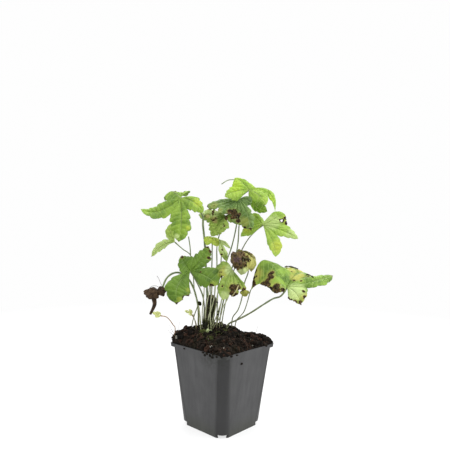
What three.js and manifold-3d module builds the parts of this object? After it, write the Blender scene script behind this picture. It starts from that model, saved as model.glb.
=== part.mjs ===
// A knotted cranesbill, a woodland geranium whose lobed leaves stand on long stalks that rise from
// a knotted rootstock. It grows in heaped potting soil in a square nursery pot of thin black
// plastic. The pot stands square to X and Y, with its corner at +X -Y turned to the front.

import * as THREE from 'three';
import { mergeVertices } from 'three/addons/utils/BufferGeometryUtils.js';
import Module from 'manifold-3d';

const wasm = await Module();
wasm.setup();

// Sizes are in mm and angles in degrees.
const GAP = 0.3;

// Pot: a square that narrows downwards, with softened corners.
const POT_HEIGHT = 95;
const POT_TOP_HALF = 44.75;
const POT_BASE_HALF = 33.1;
const POT_WALL = 1.4;
const POT_FLOOR = 1.6;
const CORNER_CUT = 9.3;
const CORNER_BULGE_BASE = 3.2;
const CORNER_BULGE_TOP = 0.3;
const CORNER_STEPS = 4;
const RIM_DEPTH = 4;
const RIM_CORNER_CUT = 5;
const RIM_CORNER_BULGE = 1.46;
const NOTCH_HEIGHT = 4;
const POCKET_LINE = 43.4;
const POCKET_TOP = NOTCH_HEIGHT + POT_FLOOR;
const DRAIN_RADIUS = 3;
const DRAIN_CENTRE = 25.2;

// Soil: it fills the pot and is heaped above the rim, flatter towards the front corner.
const SOIL_HALF = 43.7;
const SOIL_CORNER_CUT = 3.4;
const SOIL_HEAP = 14.6;
const SOIL_SHOULDER = 5;
const SOIL_LEFT_SHOULDER = 1.5;
const SOIL_RIGHT_SHOULDER = 7;
const SOIL_FRONT_SHARE = 0.35;
const SOIL_LUMP = 1.1;
const SOIL_SIDE_STEPS = 6;
const SOIL_RINGS = [0.985, 0.94, 0.86, 0.75, 0.62, 0.48, 0.32, 0.16];

// Plant: its points are given as seen from the front corner, with +X to the right, +Y away and
// +Z up from the floor, so the whole plant is turned by this angle into the pot's own axes.
const PLANT_TURN = 43;
const BLADE_THICKNESS = 0.7;
const BLADE_PUFF = 0.03;
const FOLD_DEPTH = 0.13;
const STALK_SIDES = 6;
const STALK_STEP = 9;
const STALK_ROOT = 101;
const STALK_COLLAR = 113;
const BORE_LENGTH = 30;
const BORE_SIDES = 8;
const BORE_CLEARANCE = 0.5;
const VEIN_LAG = 0.45;
const TEETH = 3;
const TOOTH_PEAK = 0.7;
const TOOTH_LEAN = 0.6;
const SWELL_POWER = 1.1;
const SWELL_POWER_BY_SINUS = 1.25;
const LEAST_SWELL = 0.04;

// Each leaf is palmate. Its lobes are listed anticlockwise as seen from the upper surface, from
// one side of the stalk round to the other. A lobe has the tip of its midrib, the point that the
// midrib passes half way, a roll about the midrib, and its half width as a share of its length on
// the side of the lobe before it and of the one after it. sinus says how far out the web between
// two lobes reaches, as a share of their length, and a lobe's own web says it for the web after
// that lobe. stalk lists the points that the leaf stalk follows from the soil up to the blade, and
// ends within it.
const LEAVES = [
  {
    name: 'leaf_upper_left',
    colour: '#7a9c38',
    apex: [-51, -14, 265],
    sinus: 0.44,
    tooth: 0.05,
    fold: 10,
    lobes: [
      { tip: [-46, 6, 268], mid: [-49, -2, 272], roll: -30, width: [0.34, 0.34] },
      { tip: [-70, -4, 262], mid: [-63, -8, 273], roll: 60, width: [0.36, 0.36] },
      { tip: [-94, -30, 251], mid: [-74, -26, 249], roll: 10, width: [0.06, 0.21] },
      { tip: [-50, -38, 215], mid: [-48, -30, 241], roll: 0, width: [0.17, 0.18] },
      { tip: [-24, -16, 247], mid: [-36, -18, 258], roll: 0, width: [0.28, 0.26] },
    ],
    stalk: {
      radius: 1.2,
      points: [
        [-20, 8], [-19, 7, 144], [-21, 5, 183], [-23, 3, 214], [-25, 0, 233], [-26, -5, 247],
        [-36, -7, 257], [-47, -12, 263], [-51, -14, 265],
      ],
    },
  },
  {
    name: 'leaf_left_small',
    colour: '#a3bd57',
    apex: [-59, 8, 213],
    sinus: 0.3,
    tooth: 0.04,
    fold: 10,
    lobes: [
      { tip: [-61, 2, 236], mid: [-64, 6, 224], roll: 0, width: [0.24, 0.24] },
      { tip: [-86, 2, 195], mid: [-74, 6, 209], roll: 0, width: [0.14, 0.12] },
    ],
    stalk: {
      radius: 0.6,
      points: [
        [-37, 10], [-34, 8, 126], [-30, 8, 140], [-34, 9, 151], [-36, 10, 168], [-40, 11, 197],
        [-50, 10, 205], [-59, 8, 213],
      ],
    },
    spurs: [{ radius: 0.6, points: [[-40, 11, 196], [-41, 11, 208], [-43, 11, 220]] }],
  },
  {
    name: 'leaf_lower_left',
    colour: '#6c9336',
    apex: [-38, -18, 181],
    sinus: 0.4,
    tooth: 0.05,
    fold: 12,
    lobes: [
      { tip: [-6, -32, 167], mid: [-21, -26, 177], roll: 0, width: [0.3, 0.38] },
      { tip: [-18, -2, 209], mid: [-27, -12, 193], roll: 0, width: [0.24, 0.16] },
      { tip: [-49, -10, 198], mid: [-45, -16, 189], roll: 0, width: [0.36, 0.36] },
      { tip: [-50, -42, 147], mid: [-50, -36, 167], roll: 0, width: [0.28, 0.28] },
    ],
    stalk: {
      radius: 0.8,
      points: [
        [-23.5, 1], [-22, 0, 136], [-24, -4, 151], [-28, -10, 162], [-34, -15, 174],
        [-38, -18, 181],
      ],
    },
  },
  {
    name: 'leaf_front_middle',
    colour: '#93ad55',
    apex: [10, -26, 184],
    sinus: 0.45,
    tooth: 0.05,
    fold: 12,
    lobes: [
      { tip: [-12, -12, 176], mid: [-2, -18, 184], roll: 0, width: [0.4, 0.4] },
      { tip: [0, -36, 151], mid: [3, -34, 169], roll: 0, width: [0.26, 0.2] },
      { tip: [14, -38, 155], mid: [12, -36, 169], roll: 0, width: [0.2, 0.16], web: 0.2 },
      { tip: [27, -30, 157], mid: [19, -30, 170], roll: 0, width: [0.12, 0.12] },
    ],
    stalk: {
      radius: 0.75,
      points: [
        [-4, 4], [-2, 2, 131], [1, -5, 147], [6, -15, 167], [9, -23, 179], [10, -26, 184],
      ],
    },
  },
  {
    name: 'leaf_lower_right',
    colour: '#8da34b',
    apex: [72, -26, 165],
    sinus: 0.6,
    tooth: 0.05,
    fold: 12,
    lobes: [
      { tip: [85, -42, 148], mid: [81, -38, 160], roll: 0, width: [0.38, 0.38] },
      { tip: [127, -14, 178], mid: [100, -22, 171], roll: 0, width: [0.16, 0.16] },
      { tip: [106, 12, 174], mid: [89, 1, 184], roll: 0, width: [0.22, 0.3], web: 0.75 },
      { tip: [32, -22, 161], mid: [46, -15, 192], roll: 10, width: [0.36, 0.3], web: 0.9 },
      { tip: [57, -38, 160], mid: [64, -37, 169], roll: -20, width: [0.34, 0.42] },
    ],
    stalk: {
      radius: 0.95,
      points: [
        [5, 2], [8, 2, 117.5], [15, 1, 121], [31, -6, 131], [48, -14, 144], [58, -18, 151],
        [65, -22, 154], [69, -25, 159], [72, -26, 165],
      ],
    },
  },
  {
    name: 'leaf_upper_right',
    colour: '#b0cb61',
    apex: [46, -2, 235],
    sinus: 0.42,
    tooth: 0.05,
    fold: 10,
    lobes: [
      { tip: [59, -22, 199], mid: [56, -14, 218], roll: 0, width: [0.14, 0.2], web: 0.5 },
      { tip: [85, -20, 220], mid: [66, -10, 230], roll: 0, width: [0.07, 0.1], web: 0.8 },
      { tip: [72, -2, 248], mid: [60, 0, 243], roll: 0, width: [0.1, 0.22], web: 0.25 },
      { tip: [34, 11, 249], mid: [39, 7, 244], roll: 0, width: [0.2, 0.2], web: 0.8 },
      { tip: [20, 4, 221], mid: [32, 4, 230], roll: 0, width: [0.2, 0.2] },
    ],
    stalk: {
      radius: 0.65,
      points: [
        [-1, 18], [4, 16, 144], [15, 13, 187], [23, 11, 207], [30, 9, 219], [39, 5, 229],
        [46, -2, 235],
      ],
    },
  },
  {
    name: 'leaf_dark_middle',
    colour: '#64803f',
    apex: [17, 4, 265],
    sinus: 0.5,
    tooth: 0.05,
    fold: 10,
    lobes: [
      { tip: [-22, 13, 257], mid: [-3, 10, 262], roll: 0, width: [0.22, 0.22] },
      { tip: [-6, -6, 249], mid: [5, 0, 257], roll: 0, width: [0.26, 0.26] },
      { tip: [17, -12, 235], mid: [15, -4, 250], roll: 0, width: [0.22, 0.22] },
      { tip: [31, -14, 229], mid: [26, -8, 250], roll: 0, width: [0.26, 0.16] },
      { tip: [31, -4, 259], mid: [26, 1, 265], roll: 0, width: [0.3, 0.3] },
    ],
    stalk: {
      radius: 0.75,
      points: [
        [-7, 13], [0, 13, 150], [14, 13, 195], [17, 13, 212], [18, 13, 232], [19, 11, 252],
        [17, 4, 265],
      ],
    },
  },
  {
    name: 'leaf_top',
    colour: '#b3d053',
    apex: [29, 8, 277],
    sinus: 0.5,
    tooth: 0.04,
    fold: 10,
    lobes: [
      { tip: [52, 0, 248], mid: [36, 2, 258], roll: 0, width: [0.2, 0.2] },
      { tip: [49, -6, 259], mid: [40, -2, 271], roll: 0, width: [0.34, 0.28], web: 0.25 },
      { tip: [61, 8, 252], mid: [53, 8, 273], roll: 0, width: [0.05, 0.08] },
      { tip: [12, 12, 292], mid: [21, 12, 287], roll: 0, width: [0.16, 0.05], web: 0.85 },
      { tip: [0, -2, 268], mid: [13, 4, 275], roll: 0, width: [0.05, 0.34] },
    ],
    stalk: {
      radius: 0.75,
      points: [
        [-12, 21], [-6, 19, 153], [4, 18, 191], [9, 18, 206], [12, 18, 218], [15, 18, 234],
        [17, 18, 252], [18, 18, 268], [24, 14, 273], [29, 8, 277],
      ],
    },
    spurs: [{ radius: 0.5, points: [[14, 12, 290], [4, 12, 289], [-4, 10, 284]] }],
  },
  {
    name: 'leaf_middle_green',
    colour: '#7d9a48',
    apex: [1, 0, 246],
    sinus: 0.42,
    tooth: 0.05,
    fold: 10,
    lobes: [
      { tip: [-31, 4, 246], mid: [-14, 2, 247], roll: 0, width: [0.16, 0.3], web: 0.75 },
      { tip: [-16, -4, 221], mid: [-8, -2, 234], roll: 0, width: [0.25, 0.25] },
      { tip: [-4, -10, 225], mid: [-1, -6, 236], roll: 0, width: [0.3, 0.3] },
      { tip: [15, -4, 237], mid: [8, -3, 244], roll: 0, width: [0.3, 0.3] },
    ],
    stalk: {
      radius: 0.7,
      points: [
        [-11, 6], [-10, 5, 156], [-8, 5, 185], [-8, 5, 211], [-3, 5, 232], [1, 0, 246],
      ],
    },
  },
  {
    name: 'leaf_yellow_folded',
    colour: '#a5bb4c',
    apex: [-14, 4, 220],
    sinus: 0.35,
    tooth: 0.04,
    fold: 10,
    lobes: [
      { tip: [-20, -5, 210], mid: [-18, -2, 218], roll: 0, width: [0.34, 0.36] },
      { tip: [-8, -5, 209], mid: [-10, 0, 216], roll: 0, width: [0.4, 0.4] },
    ],
    stalk: {
      radius: 0.7,
      points: [
        [-15, 16], [-15, 12, 156], [-14, 9, 190], [-14, 7, 208], [-14, 4, 220],
      ],
    },
  },
  {
    name: 'leaf_narrow_green',
    colour: '#8cab4a',
    apex: [-5, -2, 217],
    sinus: 0.3,
    tooth: 0.03,
    fold: 10,
    lobes: [
      { tip: [4, -12, 192], mid: [-1, -8, 205], roll: 0, width: [0.16, 0.16] },
      { tip: [8, -2, 207], mid: [1, -2, 213], roll: 0, width: [0.16, 0.16] },
    ],
    stalk: { radius: 0.65, points: [[-7, 0], [-6, -1, 158], [-3, -2, 191], [-3, -2, 205], [-5, -2, 217]] },
  },
  {
    name: 'leaf_brown_curled',
    colour: '#6d543a',
    apex: [22, -14, 205],
    sinus: 0.42,
    tooth: 0.04,
    fold: 10,
    lobes: [
      { tip: [11, -18, 186], mid: [12, -22, 199], roll: 0, width: [0.28, 0.28] },
      { tip: [20, -22, 178], mid: [22, -32, 194], roll: 0, width: [0.34, 0.34], web: 0.75 },
      { tip: [32, -16, 181], mid: [34, -16, 196], roll: 0, width: [0.16, 0.2] },
    ],
    stalk: {
      radius: 0.65,
      points: [
        [11, 8], [12, 5, 124], [18, 0, 134], [22, -5, 148], [25, -10, 168], [29, -10, 181],
        [27, -9, 196], [22, -14, 205],
      ],
    },
  },
  {
    name: 'seedling_left',
    colour: '#dfe09a',
    apex: [-71, -22, 130],
    sinus: 0.4,
    teeth: 1,
    tooth: 0.04,
    fold: 10,
    lobes: [
      { tip: [-76, -17, 134], mid: [-73, -20, 133], roll: 0, width: [0.3, 0.3] },
      { tip: [-80, -24, 133], mid: [-76, -23, 133], roll: 0, width: [0.28, 0.28] },
      { tip: [-76, -28, 129], mid: [-73, -25, 131], roll: 0, width: [0.3, 0.3] },
    ],
    stalk: {
      radius: 0.5,
      points: [
        [-56, -4], [-58, -8, 117], [-61, -13, 123], [-65, -18, 128], [-71, -22, 130],
      ],
    },
  },
  {
    name: 'seedling_right',
    colour: '#c9cf8e',
    apex: [-37, 0, 128],
    sinus: 0.4,
    teeth: 1,
    tooth: 0.04,
    fold: 10,
    lobes: [
      { tip: [-39, 6, 133], mid: [-38, 3, 131], roll: 0, width: [0.3, 0.3] },
      { tip: [-45, -3, 132], mid: [-41, -1, 131], roll: 0, width: [0.3, 0.3] },
      { tip: [-38, -8, 128], mid: [-38, -4, 129], roll: 0, width: [0.28, 0.28] },
    ],
    stalk: { radius: 0.5, points: [[-31, 3], [-32, 2, 118], [-34, 1, 123], [-37, 0, 128]] },
  },
];

// A leaf that has died and shrivelled to a folded ball, with one dried lobe hanging from it.
const SHRIVELLED = {
  name: 'leaf_shrivelled',
  colour: '#3d2f24',
  stalk: {
    radius: 0.9,
    points: [
      [-29.5, 16], [-30, 14, 133], [-35, 12, 156], [-43, 9, 171], [-52, 3, 178], [-60, -6, 178],
      [-66, -12, 173], [-69, -16, 165], [-70, -18, 159],
    ],
  },
  balls: [
    { centre: [-80.5, -20, 155], size: [8.6, 6.5, 6.6], folds: 5 },
    { centre: [-70.5, -19, 157.5], size: [5, 5, 5.4], folds: 4 },
  ],
  tail: { radius: 1.4, points: [[-79, -20, 150], [-78, -20, 143], [-79.5, -20, 138], [-83, -20, 131]] },
};

// Stalks without a blade: last year's, bent over with both ends in the soil, and a thin bare one.
const BARE_STALKS = [
  {
    name: 'stalk_old',
    colour: '#2b2118',
    radius: 1.6,
    points: [
      [-21, -5], [-20.5, -5, 121], [-19, -5, 132], [-18, -5, 143], [-16.5, -4.5, 149.5],
      [-12, -4, 150], [-10, -3, 146], [-12, -1, 137], [-14, 2, 128], [-16, 5, 119.5], [-16.5, 6],
    ],
  },
  {
    name: 'stalk_thin',
    colour: '#a9b39a',
    radius: 0.7,
    points: [
      [15, 8], [17, 7, 121], [21, 4, 126], [25, 0, 132], [28, -5, 142], [30, -9, 151],
      [32, -13, 160],
    ],
  },
];

// The knotted rootstock lies half buried among the stalks. Its knots are radii at even steps.
const ROOTSTOCK_KNOTS = [1.6, 2.8, 3.1, 2.3, 2.7, 2.9, 2.1, 2.4, 2.5, 1.5];
const ROOTSTOCK_LENGTH = 17;
const ROOTSTOCK_CENTRE = [-15, -7, 109.5];
const ROOTSTOCK_DIP = 8;

const radians = (degrees) => (degrees * Math.PI) / 180;

const vector = (point) => new THREE.Vector3(point[0], point[1], point[2]);

// The same sequence of numbers from 0 to 1 comes back each time for one seed.
function randomFrom(seed) {
  let state = seed;
  return () => {
    state = (state * 1664525 + 1013904223) % 4294967296;
    return state / 4294967296;
  };
}

// A geometry from a list of points and of triangles into it.
function meshOf(points, triangles) {
  const geometry = new THREE.BufferGeometry();
  geometry.setAttribute('position', new THREE.Float32BufferAttribute(points.flat(), 3));
  geometry.setIndex(triangles.flat());
  return geometry;
}

function toSolid(geometry) {
  const bare = geometry.clone();
  bare.deleteAttribute('normal');
  bare.deleteAttribute('uv');
  const merged = mergeVertices(bare, 1e-3);
  const mesh = new wasm.Mesh({
    numProp: 3,
    vertProperties: new Float32Array(merged.attributes.position.array),
    triVerts: new Uint32Array(merged.index.array),
  });
  return new wasm.Manifold(mesh);
}

function toGeometry(solid) {
  const mesh = solid.getMesh();
  const geometry = new THREE.BufferGeometry();
  geometry.setAttribute('position', new THREE.BufferAttribute(mesh.vertProperties, 3));
  geometry.setIndex(new THREE.BufferAttribute(mesh.triVerts, 1));
  return geometry;
}

// A closed solid through rings of points, all with the same number of points and listed from the
// bottom up, each anticlockwise from above. The first and last rings are closed from their centre.
function loft(rings) {
  const count = rings[0].length;
  const points = rings.flat();
  const triangles = [];
  for (let r = 0; r + 1 < rings.length; r += 1) {
    for (let i = 0; i < count; i += 1) {
      const a = r * count + i;
      const b = r * count + ((i + 1) % count);
      triangles.push([a, b, b + count], [a, b + count, a + count]);
    }
  }
  for (const [ring, flip] of [[0, true], [rings.length - 1, false]]) {
    const centre = [0, 1, 2].map((k) => rings[ring].reduce((sum, p) => sum + p[k], 0) / count);
    points.push(centre);
    for (let i = 0; i < count; i += 1) {
      const a = ring * count + i;
      const b = ring * count + ((i + 1) % count);
      const middle = points.length - 1;
      triangles.push(flip ? [b, a, middle] : [a, b, middle]);
    }
  }
  return meshOf(points, triangles);
}

// A square outline whose corners are shallow arcs over a chord, at one height.
function outline(half, cut, bulge, z, sideSteps = 1) {
  const points = [];
  for (let corner = 0; corner < 4; corner += 1) {
    const turn = (corner * Math.PI) / 2;
    const place = (x, y) => [
      x * Math.cos(turn) - y * Math.sin(turn),
      x * Math.sin(turn) + y * Math.cos(turn),
      z,
    ];
    for (let i = 0; i < sideSteps; i += 1) {
      points.push(place(half, (-half + cut) + (2 * (half - cut) * i) / sideSteps));
    }
    for (let i = 0; i < CORNER_STEPS; i += 1) {
      const t = i / CORNER_STEPS;
      const push = (bulge * 4 * t * (1 - t)) / Math.SQRT2;
      points.push(place(half - cut * t + push, half - cut + cut * t + push));
    }
  }
  return points;
}

const potHalf = (z) => POT_BASE_HALF + ((POT_TOP_HALF - POT_BASE_HALF) * z) / POT_HEIGHT;

const potBulge = (z) => CORNER_BULGE_BASE + ((CORNER_BULGE_TOP - CORNER_BULGE_BASE) * z) / POT_HEIGHT;

// The pot's own outline at a height, drawn in by an amount.
function potOutline(z, inset, sideSteps = 1) {
  return outline(potHalf(z) - inset, CORNER_CUT - 0.5 * inset, potBulge(z), z, sideSteps);
}

// An upright wedge that holds everything beyond the line x + y = reach at one corner.
function cornerWedge(corner, reach, bottom, top) {
  const shape = new THREE.Shape([
    new THREE.Vector2(reach, 0),
    new THREE.Vector2(POT_HEIGHT, 0),
    new THREE.Vector2(POT_HEIGHT, POT_HEIGHT),
    new THREE.Vector2(0, POT_HEIGHT),
    new THREE.Vector2(0, reach),
  ]);
  const wedge = new THREE.ExtrudeGeometry(shape, { depth: top - bottom, bevelEnabled: false });
  wedge.translate(0, 0, bottom);
  wedge.rotateZ((corner * Math.PI) / 2);
  return toSolid(wedge);
}

const CORNERS = [0, 1, 2, 3];

// The raised corner pockets keep water running off: their ceilings stand above the floor, and the
// wall is notched at each corner down to the ground.
function makePot() {
  let pot = toSolid(loft([0, NOTCH_HEIGHT, POT_HEIGHT].map((z) => potOutline(z, 0))));
  const rim = [POT_HEIGHT - RIM_DEPTH, POT_HEIGHT].map((z) => (
    outline(potHalf(z), RIM_CORNER_CUT, RIM_CORNER_BULGE, z)
  ));
  pot = pot.add(toSolid(loft(rim)));
  let inside = toSolid(loft([POT_FLOOR, POT_HEIGHT + 1].map((z) => potOutline(z, POT_WALL))));
  for (const corner of CORNERS) {
    inside = inside.subtract(cornerWedge(corner, POCKET_LINE - Math.SQRT2 * POT_WALL, 0, POCKET_TOP));
  }
  pot = pot.subtract(inside);
  const within = toSolid(loft([-1, NOTCH_HEIGHT].map((z) => potOutline(z, POT_WALL))));
  for (const corner of CORNERS) {
    pot = pot.subtract(within.intersect(cornerWedge(corner, POCKET_LINE, -1, NOTCH_HEIGHT)));
    pot = pot.subtract(cornerWedge(corner, 2 * POT_BASE_HALF - CORNER_CUT, -1, NOTCH_HEIGHT));
    const drain = new THREE.CylinderGeometry(DRAIN_RADIUS, DRAIN_RADIUS, 2 * POCKET_TOP, 12);
    drain.rotateX(Math.PI / 2);
    drain.translate(DRAIN_CENTRE, DRAIN_CENTRE, POCKET_TOP);
    drain.rotateZ((corner * Math.PI) / 2);
    pot = pot.subtract(toSolid(drain));
  }
  return toGeometry(pot);
}

// Turns a point that is given as seen from the front corner into the pot's own axes, or with a
// hand of -1 back again.
function turned(x, y, hand = 1) {
  const c = Math.cos(radians(PLANT_TURN));
  const s = hand * Math.sin(radians(PLANT_TURN));
  return [x * c - y * s, x * s + y * c];
}

// How high the heaped soil stands at a point of the pot, before its lumps.
function soilHeight(x, y) {
  const inset = Math.max(0, SOIL_HALF - Math.max(Math.abs(x), Math.abs(y)));
  const [right, away] = turned(x, y, -1);
  const share = THREE.MathUtils.lerp(1, SOIL_FRONT_SHARE, THREE.MathUtils.smoothstep(-away, 8, 52));
  const side = right < 0 ? SOIL_LEFT_SHOULDER : SOIL_RIGHT_SHOULDER;
  const sideways = THREE.MathUtils.smoothstep(Math.abs(right), 25, 50);
  const shoulder = THREE.MathUtils.lerp(SOIL_SHOULDER, side, sideways);
  return POT_HEIGHT + GAP + SOIL_HEAP * share * (1 - Math.exp(-(inset + GAP) / shoulder));
}

// The soil fills the pot up to its rim, and above it is heaped out over the corners of the rim.
function makeSoil() {
  const draw = randomFrom(11);
  const inset = POT_WALL + GAP;
  const above = outline(SOIL_HALF, SOIL_CORNER_CUT, 0, POT_HEIGHT + GAP, SOIL_SIDE_STEPS);
  const rings = [
    potOutline(POT_FLOOR + GAP, inset, SOIL_SIDE_STEPS),
    potOutline(POT_HEIGHT + GAP, inset, SOIL_SIDE_STEPS),
    above,
  ];
  for (const scale of SOIL_RINGS) {
    rings.push(above.map(([x, y]) => {
      const height = soilHeight(x * scale, y * scale) + SOIL_LUMP * draw();
      return [x * scale, y * scale, height];
    }));
  }
  let soil = toSolid(loft(rings));
  for (const corner of CORNERS) {
    const pocket = cornerWedge(corner, POCKET_LINE - Math.SQRT2 * inset, 0, POCKET_TOP + GAP);
    soil = soil.subtract(pocket);
  }
  for (const { radius, points } of STALKS) {
    const reach = (radius + BORE_CLEARANCE) / Math.cos(Math.PI / BORE_SIDES);
    for (const [x, y] of points.filter((point) => point.length === 2)) {
      const bore = new THREE.CylinderGeometry(reach, reach, BORE_LENGTH, BORE_SIDES);
      bore.rotateX(Math.PI / 2);
      bore.translate(...turned(x, y), STALK_ROOT - GAP + 0.5 * BORE_LENGTH);
      soil = soil.subtract(toSolid(bore));
    }
  }
  const bed = rootstockShape(BORE_CLEARANCE);
  bed.rotateZ(radians(PLANT_TURN));
  return toGeometry(soil.subtract(toSolid(bed)));
}

// A lathe of knots whose axis lies from back to front and dips a little towards the front.
function rootstockShape(margin) {
  const count = ROOTSTOCK_KNOTS.length;
  const profile = ROOTSTOCK_KNOTS.map((radius, i) => {
    const along = ((i + 0.5) / count - 0.5) * ROOTSTOCK_LENGTH;
    return new THREE.Vector2(radius + margin, along);
  });
  const end = 0.5 * ROOTSTOCK_LENGTH + margin;
  profile.unshift(new THREE.Vector2(0, -end));
  profile.push(new THREE.Vector2(0, end));
  const rootstock = new THREE.LatheGeometry(profile, 12);
  rootstock.rotateX(radians(ROOTSTOCK_DIP));
  rootstock.translate(...ROOTSTOCK_CENTRE);
  return rootstock;
}

// The points of a stalk's curve. Where a point has no height the stalk stands upright in its hole
// in the soil, from the root to the collar.
function stalkCurve(points) {
  const root = [STALK_ROOT, 0.5 * (STALK_ROOT + STALK_COLLAR), STALK_COLLAR];
  const course = points.flatMap((point, i) => {
    if (point.length === 3) {
      return [vector(point)];
    }
    const heights = i === 0 ? root : [...root].reverse();
    return heights.map((z) => new THREE.Vector3(point[0], point[1], z));
  });
  return new THREE.CatmullRomCurve3(course, false, 'centripetal');
}

function makeStalk({ points, radius }) {
  const curve = stalkCurve(points);
  const section = new THREE.Shape();
  for (let i = 0; i < STALK_SIDES; i += 1) {
    const angle = (2 * Math.PI * i) / STALK_SIDES;
    const [x, y] = [radius * Math.cos(angle), radius * Math.sin(angle)];
    if (i === 0) {
      section.moveTo(x, y);
    } else {
      section.lineTo(x, y);
    }
  }
  section.closePath();
  const steps = Math.round(curve.getLength() / STALK_STEP);
  return toSolid(new THREE.ExtrudeGeometry(section, { steps, extrudePath: curve, bevelEnabled: false }));
}

// The rows across one half of a lobe: two along the web that joins it to the next lobe, then each
// tooth's peak and the valley behind it, up to the tip.
function lobeRows(teeth) {
  const rows = [[0, 0], [0.5, 0], [1, 0]];
  for (let tooth = 0; tooth < teeth; tooth += 1) {
    rows.push([1, (tooth + TOOTH_PEAK) / teeth], [1, (tooth + 1) / teeth]);
  }
  return rows;
}

// The upper surface of a leaf. Each half of each lobe is a patch between the midrib and the edge.
// The edge first runs along the web shared with the next lobe, out to the sinus between them, and
// then swells out and closes at the tip. Rows across the patch lean forward as side veins do.
function bladeSurface(leaf) {
  const apex = vector(leaf.apex);
  const teeth = leaf.teeth || TEETH;
  const rows = lobeRows(teeth);
  const lobes = leaf.lobes.map((lobe) => {
    const tip = vector(lobe.tip).sub(apex);
    const mid = vector(lobe.mid).sub(apex);
    const axis = tip.clone().add(mid).normalize();
    return { ...lobe, tip, mid, axis, length: tip.length() };
  });
  const crosses = lobes.slice(1).map((lobe, k) => lobes[k].axis.clone().cross(lobe.axis).normalize());
  lobes.forEach((lobe, k) => {
    const normal = new THREE.Vector3();
    [crosses[k - 1], crosses[k]].filter(Boolean).forEach((cross) => normal.add(cross));
    const side = normal.normalize().cross(lobe.axis).normalize();
    lobe.side = side.applyAxisAngle(lobe.axis, radians(lobe.roll));
  });
  const midrib = (lobe, t) => apex.clone()
    .addScaledVector(lobe.mid, 4 * t * (1 - t))
    .addScaledVector(lobe.tip, t * (2 * t - 1));
  const frameAt = (lobe, t) => {
    const along = lobe.mid.clone().multiplyScalar(4 - 8 * t).addScaledVector(lobe.tip, 4 * t - 1);
    along.normalize();
    const side = lobe.side.clone().addScaledVector(along, -lobe.side.dot(along)).normalize();
    return { along, side, up: along.clone().cross(side) };
  };
  const points = [];
  const patches = lobes.map(() => []);
  const seen = new Map();
  const indexOf = (point) => {
    const key = point.toArray().map((value) => Math.round(value * 1000)).join();
    if (!seen.has(key)) {
      seen.set(key, points.length);
      points.push(point.toArray());
    }
    return seen.get(key);
  };
  lobes.forEach((lobe, k) => {
    for (const hand of [1, -1]) {
      const neighbour = lobes[k + hand];
      const share = lobe.width[hand > 0 ? 1 : 0];
      const sinus = (hand > 0 ? lobe.web : neighbour && neighbour.web) || leaf.sinus;
      let sinusAt = 0;
      let offset = new THREE.Vector3();
      if (neighbour) {
        sinusAt = (sinus * (1 + lobe.axis.dot(neighbour.axis))) / 2;
        offset = midrib(lobe, sinus).add(midrib(neighbour, sinus)).multiplyScalar(0.5);
        offset.sub(midrib(lobe, sinusAt));
      }
      const grid = rows.map(([web, out]) => {
        const v = leaf.sinus * web + (1 - leaf.sinus) * out;
        const spine = v - VEIN_LAG * v * (1 - v);
        const inner = midrib(lobe, spine);
        let edge;
        if (neighbour && out === 0) {
          const reach = sinus * web;
          edge = midrib(lobe, reach).add(midrib(neighbour, reach)).multiplyScalar(0.5);
        } else {
          const t = neighbour ? sinusAt + (1 - sinusAt) * out : v;
          const { along, side, up } = frameAt(lobe, t);
          const fold = radians(leaf.fold);
          const lateral = side.clone().multiplyScalar(hand * Math.cos(fold));
          lateral.addScaledVector(up, -Math.sin(fold));
          const full = share * lobe.length;
          const beyondWeb = Math.max(full - 0.5 * offset.length(), LEAST_SWELL * lobe.length);
          const peak = neighbour ? beyondWeb : full;
          const swell = Math.sin(Math.PI * (neighbour ? out ** SWELL_POWER_BY_SINUS : v ** SWELL_POWER));
          const phase = out === 1 ? 1 : (out * teeth) % 1;
          const rise = phase < TOOTH_PEAK + 1e-6 ? phase / TOOTH_PEAK : (1 - phase) / (1 - TOOTH_PEAK);
          const tooth = out === 0 ? 0 : rise * leaf.tooth * lobe.length * Math.min(1, 4 * (1 - out));
          edge = midrib(lobe, t).addScaledVector(lateral, peak * swell + tooth);
          edge.addScaledVector(along, TOOTH_LEAN * tooth).addScaledVector(offset, 1 - out);
        }
        const { up } = frameAt(lobe, spine);
        const puff = BLADE_PUFF * lobe.length * 4 * v * (1 - v);
        const middle = inner.clone().lerp(edge, 0.5).addScaledVector(up, puff);
        return [inner, middle, edge].map(indexOf);
      });
      for (let i = 0; i + 1 < grid.length; i += 1) {
        for (let c = 0; c < 2; c += 1) {
          const corners = [grid[i][c], grid[i + 1][c], grid[i + 1][c + 1], grid[i][c + 1]];
          if (hand < 0) {
            corners.reverse();
          }
          const [p, q, r, s] = corners;
          for (const triangle of [[p, q, r], [p, r, s]]) {
            if (new Set(triangle).size === 3) {
              patches[k].push(triangle);
            }
          }
        }
      }
    }
  });
  return { points, patches };
}

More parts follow.
